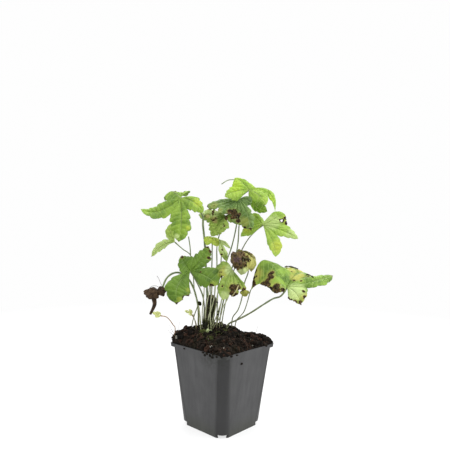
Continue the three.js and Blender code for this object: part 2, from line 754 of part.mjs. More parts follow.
// A blade of even thickness about a surface, with the same triangles on both faces. Each lobe is
// a solid of its own first, so that lobes which pass through one another are joined cleanly. The
// walls where two lobes meet are split alike, whichever way round their edge runs.
function makeBlade(leaf) {
  const { points, patches } = bladeSurface(leaf);
  const surface = meshOf(points, patches.flat());
  surface.computeVertexNormals();
  const normals = surface.attributes.normal;
  const face = (sign) => points.map(([x, y, z], i) => [
    x + sign * 0.5 * BLADE_THICKNESS * normals.getX(i),
    y + sign * 0.5 * BLADE_THICKNESS * normals.getY(i),
    z + sign * 0.5 * BLADE_THICKNESS * normals.getZ(i),
  ]);
  const both = [...face(1), ...face(-1)];
  const count = points.length;
  const lobes = patches.map((triangles) => {
    const sides = new Set(triangles.flatMap(([a, b, c]) => [`${a} ${b}`, `${b} ${c}`, `${c} ${a}`]));
    const faces = [...triangles, ...triangles.map(([a, b, c]) => [a + count, c + count, b + count])];
    for (const side of sides) {
      const [a, b] = side.split(' ').map(Number);
      if (sides.has(`${b} ${a}`)) {
        continue;
      }
      if (a < b) {
        faces.push([b, a, a + count], [b, a + count, b + count]);
      } else {
        faces.push([b, a, b + count], [a, a + count, b + count]);
      }
    }
    return toSolid(meshOf(both, faces));
  });
  return lobes.reduce((blade, lobe) => blade.add(lobe));
}

function makeLeaf(leaf) {
  const stalks = [leaf.stalk, ...(leaf.spurs || [])];
  return toGeometry(stalks.reduce((solid, stalk) => solid.add(makeStalk(stalk)), makeBlade(leaf)));
}

// A ball with folds that run from pole to pole and wander as they go.
function makeBall({ centre, size, folds }) {
  const ball = new THREE.SphereGeometry(1, 18, 10);
  const position = ball.attributes.position;
  for (let i = 0; i < position.count; i += 1) {
    const point = new THREE.Vector3().fromBufferAttribute(position, i).normalize();
    const round = Math.atan2(point.z, point.x);
    const down = Math.acos(THREE.MathUtils.clamp(point.y, -1, 1));
    const wander = 3 * Math.cos(down);
    const crease = Math.sin(folds * round + wander) + 0.6 * Math.sin(3 * round - wander);
    point.multiplyScalar(1 + FOLD_DEPTH * crease * Math.sin(down));
    position.setXYZ(i, ...point.multiply(vector(size)).add(vector(centre)).toArray());
  }
  return toSolid(ball);
}

function makeShrivelled({ stalk, balls, tail }) {
  const solids = [makeStalk(stalk), makeStalk(tail), ...balls.map(makeBall)];
  return toGeometry(solids.reduce((whole, solid) => whole.add(solid)));
}

const STALKS = [...LEAVES.map(({ stalk }) => stalk), SHRIVELLED.stalk, ...BARE_STALKS];

function named(name, geometry, colour, roughness) {
  const material = new THREE.MeshStandardMaterial({ color: colour, roughness, metalness: 0 });
  const mesh = new THREE.Mesh(geometry, material);
  mesh.name = name;
  return mesh;
}

const plant = new THREE.Group();
plant.rotation.z = radians(PLANT_TURN);
plant.add(named('rootstock', rootstockShape(0), '#8a8f62', 0.8));
for (const stalk of BARE_STALKS) {
  plant.add(named(stalk.name, toGeometry(makeStalk(stalk)), stalk.colour, 0.7));
}
for (const leaf of LEAVES) {
  plant.add(named(leaf.name, makeLeaf(leaf), leaf.colour, 0.6));
}
plant.add(named(SHRIVELLED.name, makeShrivelled(SHRIVELLED), SHRIVELLED.colour, 0.8));

const part = new THREE.Group();
part.add(named('pot', makePot(), '#565658', 0.55));
part.add(named('soil', makeSoil(), '#211c18', 0.95));
part.add(plant);

export default part;
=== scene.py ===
# A knotted cranesbill in a square nursery pot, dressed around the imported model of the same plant.
# Lengths in the tables are millimetres and angles are degrees, and every mesh is made in metres.

import math
from types import SimpleNamespace

import bmesh
import bpy
import numpy as np
from mathutils import Matrix, Vector


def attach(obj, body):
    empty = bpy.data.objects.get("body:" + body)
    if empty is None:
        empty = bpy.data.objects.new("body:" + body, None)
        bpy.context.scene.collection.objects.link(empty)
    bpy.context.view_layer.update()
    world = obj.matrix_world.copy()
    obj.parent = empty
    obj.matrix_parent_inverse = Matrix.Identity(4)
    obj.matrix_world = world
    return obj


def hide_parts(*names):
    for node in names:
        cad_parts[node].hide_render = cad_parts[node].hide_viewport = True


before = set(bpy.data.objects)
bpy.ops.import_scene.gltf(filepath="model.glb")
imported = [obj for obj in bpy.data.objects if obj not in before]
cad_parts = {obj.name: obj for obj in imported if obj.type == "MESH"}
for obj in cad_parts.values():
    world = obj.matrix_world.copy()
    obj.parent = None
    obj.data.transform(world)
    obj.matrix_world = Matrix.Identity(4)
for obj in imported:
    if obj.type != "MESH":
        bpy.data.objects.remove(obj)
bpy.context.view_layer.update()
scene = bpy.context.scene


# Camera. It looks at the pot's front corner from the height of the leaves, held level and turned
# a little about its own line of sight. The plant's points are given as seen from that corner.
MM = 0.001
PLANT_TURN = math.radians(43)
CAMERA_PLACE = (1, -558, 234.6)
CAMERA_LENS = 37.6
CAMERA_ROLL = math.radians(0.9)
NEAREST_SEEN = 0.01


def turned(points):
    """Points as seen from the front corner, turned about Z by the plant's angle into the pot's axes."""
    x, y, z = np.moveaxis(np.asarray(points, float), -1, 0)
    c, s = math.cos(PLANT_TURN), math.sin(PLANT_TURN)
    return np.stack([x * c - y * s, x * s + y * c, z], axis=-1)


camera = bpy.data.objects.new("camera", bpy.data.cameras.new("camera"))
scene.collection.objects.link(camera)
camera.data.lens = CAMERA_LENS
camera.data.clip_start = NEAREST_SEEN
camera.location = turned(CAMERA_PLACE) * MM
camera.rotation_euler = (
    Matrix.Rotation(PLANT_TURN, 4, "Z")
    @ Matrix.Rotation(math.pi / 2, 4, "X")
    @ Matrix.Rotation(CAMERA_ROLL, 4, "Z")
).to_euler()
scene.camera = camera
scene.view_settings.view_transform = "Standard"


# Room. A white floor runs back into a white ground. Broad lights stand at both sides, above and
# behind, as they do round a small table for pictures.
FLOOR_REACH = 6.0
FLOOR_GLOW = 0.72
WHITE_STRENGTH = 0.99
SKY_STRENGTH = 0.42
LIGHTS_AIM = (0, 0, 150)
LIGHTS = (
    ("light_right", (900, -150, 700), (900, 900), 13),
    ("light_left", (-900, -100, 620), (900, 900), 7),
    ("light_top", (-60, -120, 1250), (1300, 1300), 14),
    ("light_back", (100, 1000, 900), (1200, 900), 12),
)


def paint(red, green, blue):
    """A screen colour of 0 to 255 as the linear colour that shaders take, by the sRGB curve."""
    value = np.array([red, green, blue]) / 255
    linear = np.where(value <= 0.04045, value / 12.92, ((value + 0.055) / 1.055) ** 2.4)
    return (*linear, 1.0)


def node(tree, kind, inputs=None, **settings):
    """A new shader node with its settings. Its inputs take values or the sockets of other nodes."""
    made = tree.nodes.new(kind)
    for name, value in settings.items():
        setattr(made, name, value)
    for key, value in (inputs or {}).items():
        if isinstance(value, bpy.types.NodeSocket):
            tree.links.new(value, made.inputs[key])
        else:
            made.inputs[key].default_value = value
    return made


def emptied(tree):
    """A shader tree with all its nodes taken out."""
    tree.nodes.clear()
    return tree


def new_tree(name):
    """The emptied shader tree of a new material."""
    material = bpy.data.materials.new(name)
    material.use_nodes = True
    return emptied(material.node_tree)


world = bpy.data.worlds.new("room")
scene.world = world
world.use_nodes = True
tree = emptied(world.node_tree)
seen = node(tree, "ShaderNodeBackground", {"Color": (1, 1, 1, 1), "Strength": WHITE_STRENGTH})
filling = node(tree, "ShaderNodeBackground", {"Color": paint(250, 252, 255), "Strength": SKY_STRENGTH})
path = node(tree, "ShaderNodeLightPath")
both = node(tree, "ShaderNodeMixShader", {
    0: path.outputs["Is Camera Ray"], 1: filling.outputs[0], 2: seen.outputs[0]})
node(tree, "ShaderNodeOutputWorld", {"Surface": both.outputs[0]})

floor_mesh = bpy.data.meshes.new("floor")
floor_corners = [(x * FLOOR_REACH, y * FLOOR_REACH, 0) for x, y in ((-1, -1), (1, -1), (1, 1), (-1, 1))]
floor_mesh.from_pydata(floor_corners, [], [(0, 1, 2, 3)])
floor = bpy.data.objects.new("floor", floor_mesh)
scene.collection.objects.link(floor)
tree = new_tree("floor_white")
place = node(tree, "ShaderNodeTexCoord").outputs["Object"]
far = node(tree, "ShaderNodeVectorMath", {0: place}, operation="LENGTH").outputs["Value"]
share = node(tree, "ShaderNodeMapRange", {
    "Value": far, "From Min": 0.1, "From Max": 0.9, "To Min": FLOOR_GLOW, "To Max": 1.0}).outputs[0]
glow = node(tree, "ShaderNodeEmission", {"Color": (1, 1, 1, 1), "Strength": WHITE_STRENGTH})
matt = node(tree, "ShaderNodeBsdfDiffuse", {"Color": (0.9, 0.9, 0.9, 1)})
both = node(tree, "ShaderNodeMixShader", {0: share, 1: matt.outputs[0], 2: glow.outputs[0]})
node(tree, "ShaderNodeOutputMaterial", {"Surface": both.outputs[0]})
floor_mesh.materials.append(bpy.data.materials["floor_white"])

for name, place, size, power in LIGHTS:
    lamp = bpy.data.lights.new(name, "AREA")
    lamp.shape = "RECTANGLE"
    lamp.size, lamp.size_y = (side * MM for side in size)
    lamp.energy = power
    light = bpy.data.objects.new(name, lamp)
    scene.collection.objects.link(light)
    light.location = turned(place) * MM
    aim = turned(LIGHTS_AIM) * MM - np.array(light.location)
    light.rotation_euler = Vector(aim).to_track_quat("-Z", "Y").to_euler()
    light.visible_camera = False


# Pot. A thin square nursery pot, moulded in dark recycled plastic, with a stepped rim, softened
# corners and notched feet over the drain holes. Its plastic has faint flow marks and soil dust,
# painted shade at its corners, and under the rim smudges of soil with painted shadow.
MERGE_REACH = 2e-6
POT_EDGE = 0.25
POT_EDGE_ANGLE = math.radians(35)
POT_CORNER = 56.9
POT_FLARE = 0.1226


def calc(tree, operation, *values, clamp=False):
    """The result of a Math node on values or sockets."""
    made = node(tree, "ShaderNodeMath", dict(enumerate(values)), operation=operation, use_clamp=clamp)
    return made.outputs[0]


def ramp(tree, value, low, high, start=0.0, end=1.0):
    """A value that rises smoothly from start to end as the input goes from low to high."""
    inputs = {"Value": value, "From Min": low, "From Max": high, "To Min": start, "To Max": end}
    return node(tree, "ShaderNodeMapRange", inputs, interpolation_type="SMOOTHSTEP").outputs[0]


def mixed(tree, share, first, second, mode="MIX"):
    """Two colours mixed by a share."""
    inputs = {0: share, 6: first, 7: second}
    return node(tree, "ShaderNodeMix", inputs, data_type="RGBA", blend_type=mode).outputs[2]


def noise(tree, vector, scale, detail=2.0, roughness=0.5):
    """A noise from 0 to 1 with features of about 1/scale metres."""
    inputs = {"Vector": vector, "Scale": scale, "Detail": detail, "Roughness": roughness}
    return node(tree, "ShaderNodeTexNoise", inputs).outputs[0]


def object_place(tree, scale=(1, 1, 1)):
    """Object coordinates in metres, stretched by a scale."""
    place = node(tree, "ShaderNodeTexCoord").outputs["Object"]
    return node(tree, "ShaderNodeMapping", {"Vector": place, "Scale": scale}).outputs[0]


def height_up(tree):
    """Height above the floor in metres."""
    return node(tree, "ShaderNodeSeparateXYZ", {"Vector": object_place(tree)}).outputs[2]


def shader_group(name, inputs, outputs):
    """A node group with its input and output nodes. Its sockets' names are given by their kind."""
    group = bpy.data.node_groups.new(name, "ShaderNodeTree")
    for way, sockets in (("INPUT", inputs), ("OUTPUT", outputs)):
        for kind, labels in sockets.items():
            for label in labels.split():
                group.interface.new_socket(label, in_out=way, socket_type="NodeSocket" + kind)
    return group, group.nodes.new("NodeGroupInput").outputs, group.nodes.new("NodeGroupOutput")


def placed(tree, group, **values):
    """The outputs of a group that is put into a material with its own values."""
    inputs = {name.capitalize(): value for name, value in values.items()}
    return node(tree, "ShaderNodeGroup", inputs, node_tree=group).outputs


def finish(name, colour, roughness, height=None, depth=0.3, through=None, shine=0.5):
    """The material of a name, with its shaders added to the tree that the caller has filled. depth
    is that of its relief in mm, and through is a share and a colour of light that comes through."""
    tree = bpy.data.materials[name].node_tree
    inputs = {"Base Color": colour, "Roughness": roughness, "Specular IOR Level": shine}
    shader = node(tree, "ShaderNodeBsdfPrincipled", inputs)
    if height is not None:
        bump = node(tree, "ShaderNodeBump", {"Height": height, "Strength": 1.0, "Distance": depth * MM})
        tree.links.new(bump.outputs[0], shader.inputs["Normal"])
    surface = shader.outputs[0]
    if through:
        share, glow_colour = through
        back = node(tree, "ShaderNodeBsdfTranslucent", {"Color": glow_colour})
        surface = node(tree, "ShaderNodeMixShader", {0: share, 1: surface, 2: back.outputs[0]}).outputs[0]
    node(tree, "ShaderNodeOutputMaterial", {"Surface": surface})
    return bpy.data.materials[name]


# Fine grain that moulded plastic, dry bark and skin all have: an even pitting and a mottled tone.
grain, given, results = shader_group(
    "fine_grain", {"Vector": "Place", "Float": "Scale Spread"}, {"Float": "Height Tone"})
pits = noise(grain, given["Place"], given["Scale"], 3.0)
tones = noise(grain, given["Place"], given["Spread"], 4.0)
grain.links.new(pits, results.inputs["Height"])
grain.links.new(ramp(grain, tones, 0.3, 0.7), results.inputs["Tone"])


def grained(name, scale, spread, dark, light):
    """The tree of a new material, the height of its fine grain, and a colour mottled by the grain
    from dark to light."""
    tree = new_tree(name)
    skin = placed(tree, grain, place=object_place(tree), scale=scale, spread=spread)
    return tree, skin["Height"], mixed(tree, skin["Tone"], paint(*dark), paint(*light))


def tinted(tree, colour, value, low, high, most, shade):
    """A colour with a shade laid over it, by up to a share as the value goes from low to high."""
    return mixed(tree, ramp(tree, value, low, high, 0, most), colour, paint(*shade))


tree, pitting, colour = grained("nursery_plastic", 1400.0, 55.0, (50, 50, 51), (58, 58, 59))
flow = noise(tree, object_place(tree, (1, 1, 0.12)), 160, 4, 0.6)
dust = noise(tree, object_place(tree), 260, 6, 0.7)
colour = tinted(tree, colour, flow, 0.45, 0.7, 0.5, (46, 46, 48))
colour = tinted(tree, colour, height_up(tree), 0.022, 0.0, 0.6, (44, 47, 32))

# Painted shade: the pot's corners and the plastic near them are painted darker, where shade falls on
# them. At a corner |x| + |y| is POT_CORNER on the floor, and twice POT_FLARE more for each unit of
# height.
x, y, z = node(tree, "ShaderNodeSeparateXYZ", {"Vector": object_place(tree)}).outputs
sideways = calc(tree, "ADD", calc(tree, "ABSOLUTE", x), calc(tree, "ABSOLUTE", y))
corner_place = calc(tree, "MULTIPLY_ADD", z, POT_FLARE * 2, POT_CORNER * MM)
past_corner = calc(tree, "SUBTRACT", sideways, corner_place)
colour = tinted(tree, colour, past_corner, -0.03, 0.0, 0.3, (34, 34, 35))
colour = tinted(tree, colour, past_corner, -0.0035, -0.0008, 0.72, (22, 22, 23))
colour = tinted(tree, colour, dust, 0.62, 0.75, 0.35, (92, 86, 78))

# Two dark smudges under the rim, partly stains of wet soil and partly painted shadow from the rim:
# centre and reach in metres.
SOIL_AND_SHADOW_SMUDGES = (((0.021, -0.044, 0.091), 0.02), ((0.0405, -0.0435, 0.09), 0.018))
for centre, reach in SOIL_AND_SHADOW_SMUDGES:
    off = node(tree, "ShaderNodeVectorMath", {0: object_place(tree), 1: centre}, operation="DISTANCE")
    smudge_and_shadow = calc(tree, "MULTIPLY", ramp(tree, off.outputs["Value"], reach, 0.002),
                  ramp(tree, dust, 0.38, 0.6, 0.1, 0.9))
    colour = mixed(tree, smudge_and_shadow, colour, paint(12, 16, 5))
rough = calc(tree, "ADD", ramp(tree, flow, 0.3, 0.7, 0.42, 0.52), ramp(tree, dust, 0.6, 0.75, 0, 0.25))
relief = calc(tree, "ADD", pitting, calc(tree, "MULTIPLY", flow, 1.5))
nursery_plastic = finish("nursery_plastic", colour, rough, relief, 0.05)

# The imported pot's own shape, with its flat faces made whole again and its edges rounded.
pot_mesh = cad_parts["pot"].data.copy()
pot_mesh.materials.clear()
pot = bpy.data.objects.new("pot_shell", pot_mesh)
scene.collection.objects.link(pot)
work = bmesh.new()
work.from_mesh(pot_mesh)
bmesh.ops.remove_doubles(work, verts=work.verts, dist=MERGE_REACH)
bmesh.ops.dissolve_limit(work, angle_limit=math.radians(1), verts=work.verts, edges=work.edges)
work.to_mesh(pot_mesh)
work.free()
pot_mesh.materials.append(nursery_plastic)
rounding = pot.modifiers.new("edges", "BEVEL")
rounding.width = POT_EDGE * MM
rounding.segments = 2
rounding.limit_method = "ANGLE"
rounding.angle_limit = POT_EDGE_ANGLE
flat = pot.modifiers.new("flat_faces", "WEIGHTED_NORMAL")
flat.keep_sharp = True
pot_mesh.polygons.foreach_set("use_smooth", np.ones(len(pot_mesh.polygons), bool))
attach(pot, "root")
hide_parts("pot")


# Soil. Dark peaty potting soil fills the pot and is heaped over it, lower in front, on the right
# and behind, with loose crumbs, bark, root threads, white perlite and moss near the stalks. A share
# says how high a part of the heap is beside the rest.
POT_HEIGHT = 95
POT_TOP_HALF = 44.75
POT_BASE_HALF = 33.1
CORNER_CUT = 9.3
SOIL_FLOOR = 6
SOIL_INSET = 1.7
SOIL_HALF = 43.7
SOIL_CORNER_CUT = 3.4
SOIL_GAP = 0.3
SOIL_HEAP = 14.6
SOIL_SHOULDERS = (1.5, 5, 5)
SOIL_FRONT_SHARE = 0.35
SOIL_RIGHT_SHARE = 0.62
SOIL_BACK_SHARE = 0.7
SOIL_FAR_SHARE = 0.62
SOIL_LEFT_SHARE = 0.76
SOIL_SIDE_POINTS = 64
SOIL_RINGS = 72
CRUMB_STANDS = 0.15
STUCK_OUT = 0.3
STUCK_DEPTH = 0.8
PERLITE_LIFT = 1.3
PERLITE_SPECKS = 26
THREAD_COUNT = 80
THREAD_LIFT = 1.0
MOSS_SHOOTS = 240
MOSS_SINK = 0.3
MOSS_RADIUS = 0.28


def unit(vector):
    """Vectors of length 1 in the same directions."""
    return vector / np.linalg.norm(vector, axis=-1, keepdims=True)


def eased(value, low, high):
    """0 up to low, 1 from high on, and 3t2 - 2t3 between them."""
    t = np.clip((value - low) / (high - low), 0, 1)
    return t * t * (3 - 2 * t)


def ripple(points, wavelength, seed, waves=24):
    """An uneven value about 0 at each point: the sum of sine waves in random directions."""
    draw = np.random.default_rng(seed)
    direction = draw.normal(size=(waves, 3))
    direction *= draw.uniform(0.6, 1.6, (waves, 1)) / np.linalg.norm(direction, axis=1, keepdims=True)
    phase = np.asarray(points) @ direction.T * (2 * math.pi / wavelength) + draw.uniform(0, 6.3, waves)
    return np.sin(phase).sum(axis=-1) * math.sqrt(2 / waves)


def soil_top(x, y):
    """Height of the heaped soil: the rim, and a heap that rises from each side as 1 - exp(-inset /
    shoulder), falls off to the front corner and is a step lower on the right, behind and far left."""
    c, s = math.cos(PLANT_TURN), math.sin(PLANT_TURN)
    right, away = x * c + y * s, y * c - x * s
    inset = np.maximum(0, SOIL_HALF - np.maximum(abs(x), abs(y)))
    lowered = (
        (SOIL_FRONT_SHARE, eased(-away, 8, 52), 1),
        (SOIL_RIGHT_SHARE, eased(right, 13, 26), 1),
        (SOIL_BACK_SHARE, eased(away, 6, 34), eased(right, -6, 2)),
        (SOIL_FAR_SHARE, eased(away, 4, 26), eased(right, 12, 24)),
        (SOIL_LEFT_SHARE, eased(-right, 45, 49), 1),
    )
    share = 1
    for least, reached, beside in lowered:
        share = share * (1 + (least - 1) * reached * beside)
    side = np.where(right < 0, SOIL_SHOULDERS[0], SOIL_SHOULDERS[2])
    shoulder = SOIL_SHOULDERS[1] + (side - SOIL_SHOULDERS[1]) * eased(abs(right), 25, 50)
    return POT_HEIGHT + SOIL_GAP + SOIL_HEAP * share * (1 - np.exp(-(inset + SOIL_GAP) / shoulder))


def soil_lumps(points):
    """How far broad lumps lift the heap's surface at each point."""
    return 0.9 * ripple(points, 14, 3)


def square_outline(half, cut, count):
    """Points round a square with cut corners, evenly spread along each of its eight sides."""
    corners = np.array([(half, cut - half), (half, half - cut), (half - cut, half), (cut - half, half),
                        (-half, half - cut), (-half, cut - half), (cut - half, -half), (half - cut, -half)])
    shares = np.where(np.arange(8) % 2, 6, count)
    steps = [np.arange(n)[:, None] / n for n in shares]
    return np.vstack([a + (b - a) * t for a, b, t in zip(corners, np.roll(corners, -1, axis=0), steps)])


def mesh_piece(name, shape, materials, stands_for=None, loose=False, values=None, across=None):
    """A piece from points in mm and faces into them, with the given materials. It may stand for a node.
    A loose piece is many small flat-sided bodies; others are smooth, with double points merged. values
    are named numbers for each point, and across is a flat place for each point, kept as the UV map of
    the faces' corners."""
    points, faces = shape
    mesh = bpy.data.meshes.new(name)
    mesh.from_pydata((np.asarray(points) * MM).tolist(), [], np.asarray(faces).tolist())
    for label, numbers in (values or {}).items():
        attribute = mesh.attributes.new(label, "FLOAT", "POINT")
        attribute.data.foreach_set("value", np.asarray(numbers, np.float32))
    if across is not None:
        corners = np.zeros(len(mesh.loops), np.int32)
        mesh.loops.foreach_get("vertex_index", corners)
        mesh.uv_layers.new(name="across").data.foreach_set("uv", across[corners].astype(np.float32).ravel())
    if not loose:
        work = bmesh.new()
        work.from_mesh(mesh)
        bmesh.ops.remove_doubles(work, verts=work.verts, dist=MERGE_REACH)
        bmesh.ops.dissolve_degenerate(work, edges=work.edges, dist=MERGE_REACH)
        work.to_mesh(mesh)
        work.free()
    mesh.polygons.foreach_set("use_smooth", np.full(len(mesh.polygons), not loose))
    for material in materials:
        mesh.materials.append(material)
    piece = bpy.data.objects.new(name, mesh)
    scene.collection.objects.link(piece)
    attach(piece, "root")
    if stands_for:
        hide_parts(stands_for)
    return piece


def grid_faces(rows, columns, closed=False):
    """Four-sided faces between the points of a grid, joined round from last column to first if closed."""
    row = np.arange(rows - 1)[:, None] * columns
    column = np.arange(columns if closed else columns - 1)
    after = (column + 1) % columns
    corners = [row + column, row + after, row + columns + after, row + columns + column]
    return np.stack(corners, axis=-1).reshape(-1, 4)


def attribute_value(tree, name):
    """The numbers that a mesh holds under a name for each of its points."""
    return node(tree, "ShaderNodeAttribute", attribute_name=name).outputs["Fac"]


tree, pitting, colour = grained("soil_peat", 900.0, 220.0, (20, 16, 12), (36, 29, 22))
tint = attribute_value(tree, "tint")
damp = noise(tree, object_place(tree), 45, 3)
colour = tinted(tree, colour, tint, 0.62, 0.95, 0.75, (58, 39, 30))
colour = tinted(tree, colour, tint, 0.3, 0.05, 0.8, (9, 8, 7))
colour = tinted(tree, colour, damp, 0.5, 0.68, 0.35, (28, 30, 16))
soil_peat = finish("soil_peat", colour, 0.95, pitting, 0.4, shine=0.12)

soil_outline = square_outline(SOIL_HALF, SOIL_CORNER_CUT, SOIL_SIDE_POINTS)
inside_low = square_outline(POT_BASE_HALF - SOIL_INSET + 0.6, CORNER_CUT - 1, SOIL_SIDE_POINTS)
inside_high = square_outline(POT_TOP_HALF - SOIL_INSET, CORNER_CUT - 1, SOIL_SIDE_POINTS)
rings = [np.column_stack([ring, np.full(len(ring), height)]) for ring, height in (
    (inside_low * 0, SOIL_FLOOR), (inside_low, SOIL_FLOOR), (inside_high, POT_HEIGHT + SOIL_GAP),
    (soil_outline, POT_HEIGHT + SOIL_GAP))]
scales = 1 - (np.arange(1, SOIL_RINGS + 1) / SOIL_RINGS) ** 1.15
heaped = soil_outline[None] * scales[:, None, None]
heaped = np.dstack([heaped, soil_top(heaped[..., 0], heaped[..., 1])])
lumps = soil_lumps(heaped) + 0.7 * ripple(heaped, 6, 4) + 0.35 * ripple(heaped, 2.6, 5)
heaped[..., 2] += lumps * eased(1 - scales, 0, 0.06)[:, None]
soil_grid = np.concatenate([np.array(rings), heaped])
soil_shape = soil_grid.reshape(-1, 3), grid_faces(len(soil_grid), len(soil_outline), closed=True)
mesh_piece("soil_heap", soil_shape, [soil_peat], "soil",
           values={"tint": 0.4 + 0.1 * ripple(soil_grid, 3, 6).ravel()})


def taken_from(work):
    """The points and faces of a mesh in the making, which is then freed."""
    points = np.array([v.co for v in work.verts])
    faces = np.array([[v.index for v in f.verts] for f in work.faces])
    work.free()
    return points, faces


def stone_shape(subdivisions):
    """Points and triangles of a rounded stone of radius 1."""
    work = bmesh.new()
    bmesh.ops.create_icosphere(work, subdivisions=subdivisions, radius=1)
    return taken_from(work)


def clod_shape():
    """Points and four-sided faces of a clod of radius 1: a cube, each side cut in four, pushed out
    to a ball."""
    work = bmesh.new()
    bmesh.ops.create_cube(work, size=2)
    bmesh.ops.subdivide_edges(work, edges=work.edges, cuts=1, use_grid_fill=True)
    points, squares = taken_from(work)
    return unit(points), squares


def scattered(shape, places, sizes, draw, rough=0.25):
    """Copies of a shape: each is stretched by its three sizes, has every point moved in or out by a
    random share, is turned by a random unit quaternion, and is set at its place."""
    points, faces = shape
    count = len(places)
    copies = points[None] * (1 + rough * draw.uniform(-1, 1, (count, len(points), 1))) * sizes[:, None]
    w, x, y, z = unit(draw.normal(size=(count, 4))).T
    spin = np.array([
        [1 - 2 * (y * y + z * z), 2 * (x * y - w * z), 2 * (x * z + w * y)],
        [2 * (x * y + w * z), 1 - 2 * (x * x + z * z), 2 * (y * z - w * x)],
        [2 * (x * z - w * y), 2 * (y * z + w * x), 1 - 2 * (x * x + y * y)],
    ])
    copies = np.einsum("ijn,nvj->nvi", spin, copies) + places[:, None]
    shifted = faces[None] + (np.arange(count) * len(points))[:, None, None]
    return copies.reshape(-1, 3), shifted.reshape(-1, faces.shape[1])


def on_soil(draw, count, sink, reach=1.0):
    """Random places on the heap, up to a reach of its outline, sunk below it by an amount."""
    flat = draw.uniform(-1, 1, (count, 2)) * SOIL_HALF * reach
    corner = np.abs(flat).sum(axis=1) - (2 * SOIL_HALF - SOIL_CORNER_CUT) * reach
    flat -= np.sign(flat) * np.maximum(0, corner)[:, None] / 2
    return np.column_stack([flat, soil_top(flat[:, 0], flat[:, 1]) - sink])


def joined(parts):
    """Several pairs of points and faces as one pair."""
    shifts = np.cumsum([0] + [len(points) for points, _ in parts[:-1]])
    faces = [faces + shift for (_, faces), shift in zip(parts, shifts)]
    return np.vstack([points for points, _ in parts]), np.vstack(faces)


# Crumbs lie all over the heap: many fine ones, and fewer large clods.
draw = np.random.default_rng(21)
for name, count, low, high, shape, reach in (
    ("soil_crumbs_fine", 3600, 0.5, 1.3, stone_shape(1), 1.0),
    ("soil_crumbs", 1100, 1.2, 3.0, clod_shape(), 0.99),
):
    sizes = draw.uniform(low, high, (count, 1)) * draw.uniform(0.6, 1.25, (count, 3))
    places = on_soil(draw, count, -CRUMB_STANDS * sizes.mean(axis=1), reach)
    places[:, 2] += soil_lumps(places)
    crumbs = scattered(shape, places, sizes, draw)
    tints = np.repeat(draw.uniform(0, 1, count), len(shape[0]))
    mesh_piece(name, crumbs, [soil_peat], loose=True, values={"tint": tints})

# A few damp crumbs have stuck to the two front walls: wall, place along it, height, width, height of
# the crumb. Wall 0 is to the left of the front corner and wall 1 to its right.
STUCK_CRUMBS = (
    (0, 27, 91.5, 2.6, 1.1), (0, 23.5, 93, 1.3, 1.5), (0, 15.5, 91.7, 1.5, 1.3), (0, 13, 94, 1.6, 0.9),
    (0, 34, 93.5, 1.4, 1.2), (0, 19, 94, 1.6, 1.4), (0, -17.5, 92.5, 1.6, 0.7), (1, -14.5, 82, 1.5, 1.2),
    (1, -24, 93.5, 1.5, 0.8), (1, -33, 94, 1.8, 1.2),
)
grown, triangles = stone_shape(2)
parts = []
for wall, along, height, width, tall in STUCK_CRUMBS:
    out = POT_BASE_HALF + (POT_TOP_HALF - POT_BASE_HALF) * height / POT_HEIGHT + STUCK_OUT
    uneven = 1 + 0.25 * draw.uniform(-1, 1, (len(grown), 1))
    lump = grown * (width, STUCK_DEPTH, tall) * uneven + (along, -out, height)
    if wall == 1:
        lump = np.column_stack([-lump[:, 1], lump[:, 0], lump[:, 2]])
    parts.append((lump, triangles))
mesh_piece("soil_stuck", joined(parts), [soil_peat], loose=True,
           values={"tint": np.full(len(parts) * len(grown), 0.2)})

# White perlite: the larger grains where the photograph shows them, by place and size, and specks.
tree, pitting, colour = grained("perlite", 1500.0, 400.0, (112, 109, 98), (158, 155, 144))
perlite = finish("perlite", colour, 0.9, pitting, 0.3)
PERLITE = ((-13, -27, 1.1), (-12, -45, 1.6), (2, -50, 1.1), (-53, -9, 2.0), (-8, -27, 0.8),
           (56, -1, 1.0), (-14, -36, 0.8))
spots = turned([(x, y, 0) for x, y, _ in PERLITE])
grains = np.column_stack([spots[:, :2], soil_top(spots[:, 0], spots[:, 1])])
grains[:, 2] += soil_lumps(grains) + PERLITE_LIFT
sizes = np.array([[size] for *_, size in PERLITE]) * draw.uniform(0.8, 1.1, (len(PERLITE), 3))
grains = np.vstack([grains, on_soil(draw, PERLITE_SPECKS, 0, 0.96)])
sizes = np.vstack([sizes, draw.uniform(0.35, 0.8, (PERLITE_SPECKS, 3))])
mesh_piece("soil_perlite", scattered(stone_shape(2), grains, sizes, draw), [perlite], loose=True)


def circles(along, aside, sides):
    """Circles of radius 1, each square to its direction along and begun square to aside as well, and
    the angles of their points."""
    angle = np.arange(sides) * 2 * math.pi / sides
    side = unit(np.cross(aside, along))
    other = np.cross(along, side)
    return side[:, None] * np.cos(angle)[:, None] + other[:, None] * np.sin(angle)[:, None], angle


def tube(path, radius, sides=12, ridges=0.0):
    """A closed tube: rings square to the path, of a radius at each of its points, that end in a
    point. Each ring starts from the one direction that lies most square to the whole path."""
    path = np.asarray(path, float)
    radius = np.broadcast_to(radius, len(path))
    along = unit(np.gradient(path, axis=0))
    ring, angle = circles(along, np.linalg.svd(along)[2][-1], sides)
    ring *= (radius[:, None] * (1 + ridges * np.cos(5 * angle)))[..., None]
    rings = path[:, None] + ring
    ends = np.broadcast_to(path[[0, -1], None], (2, sides, 3))
    rings = np.concatenate([ends[:1], rings, ends[1:]])
    return rings.reshape(-1, 3), grid_faces(len(rings), sides, closed=True)


def spikes(roots, directions, lengths, radius):
    """Three-sided spikes, each standing on its root along its own direction."""
    up = unit(directions)
    ring, _ = circles(up, (-0.31, -0.52, -0.79), 3)
    tips = roots + up * lengths[:, None]
    points = np.concatenate([roots[:, None] + radius * ring, tips[:, None]], axis=1)
    faces = np.array([(0, 1, 3), (1, 2, 3), (2, 0, 3), (2, 1, 0)])
    faces = faces + 4 * np.arange(len(roots))[:, None, None]
    return points.reshape(-1, 3), faces.reshape(-1, 3)


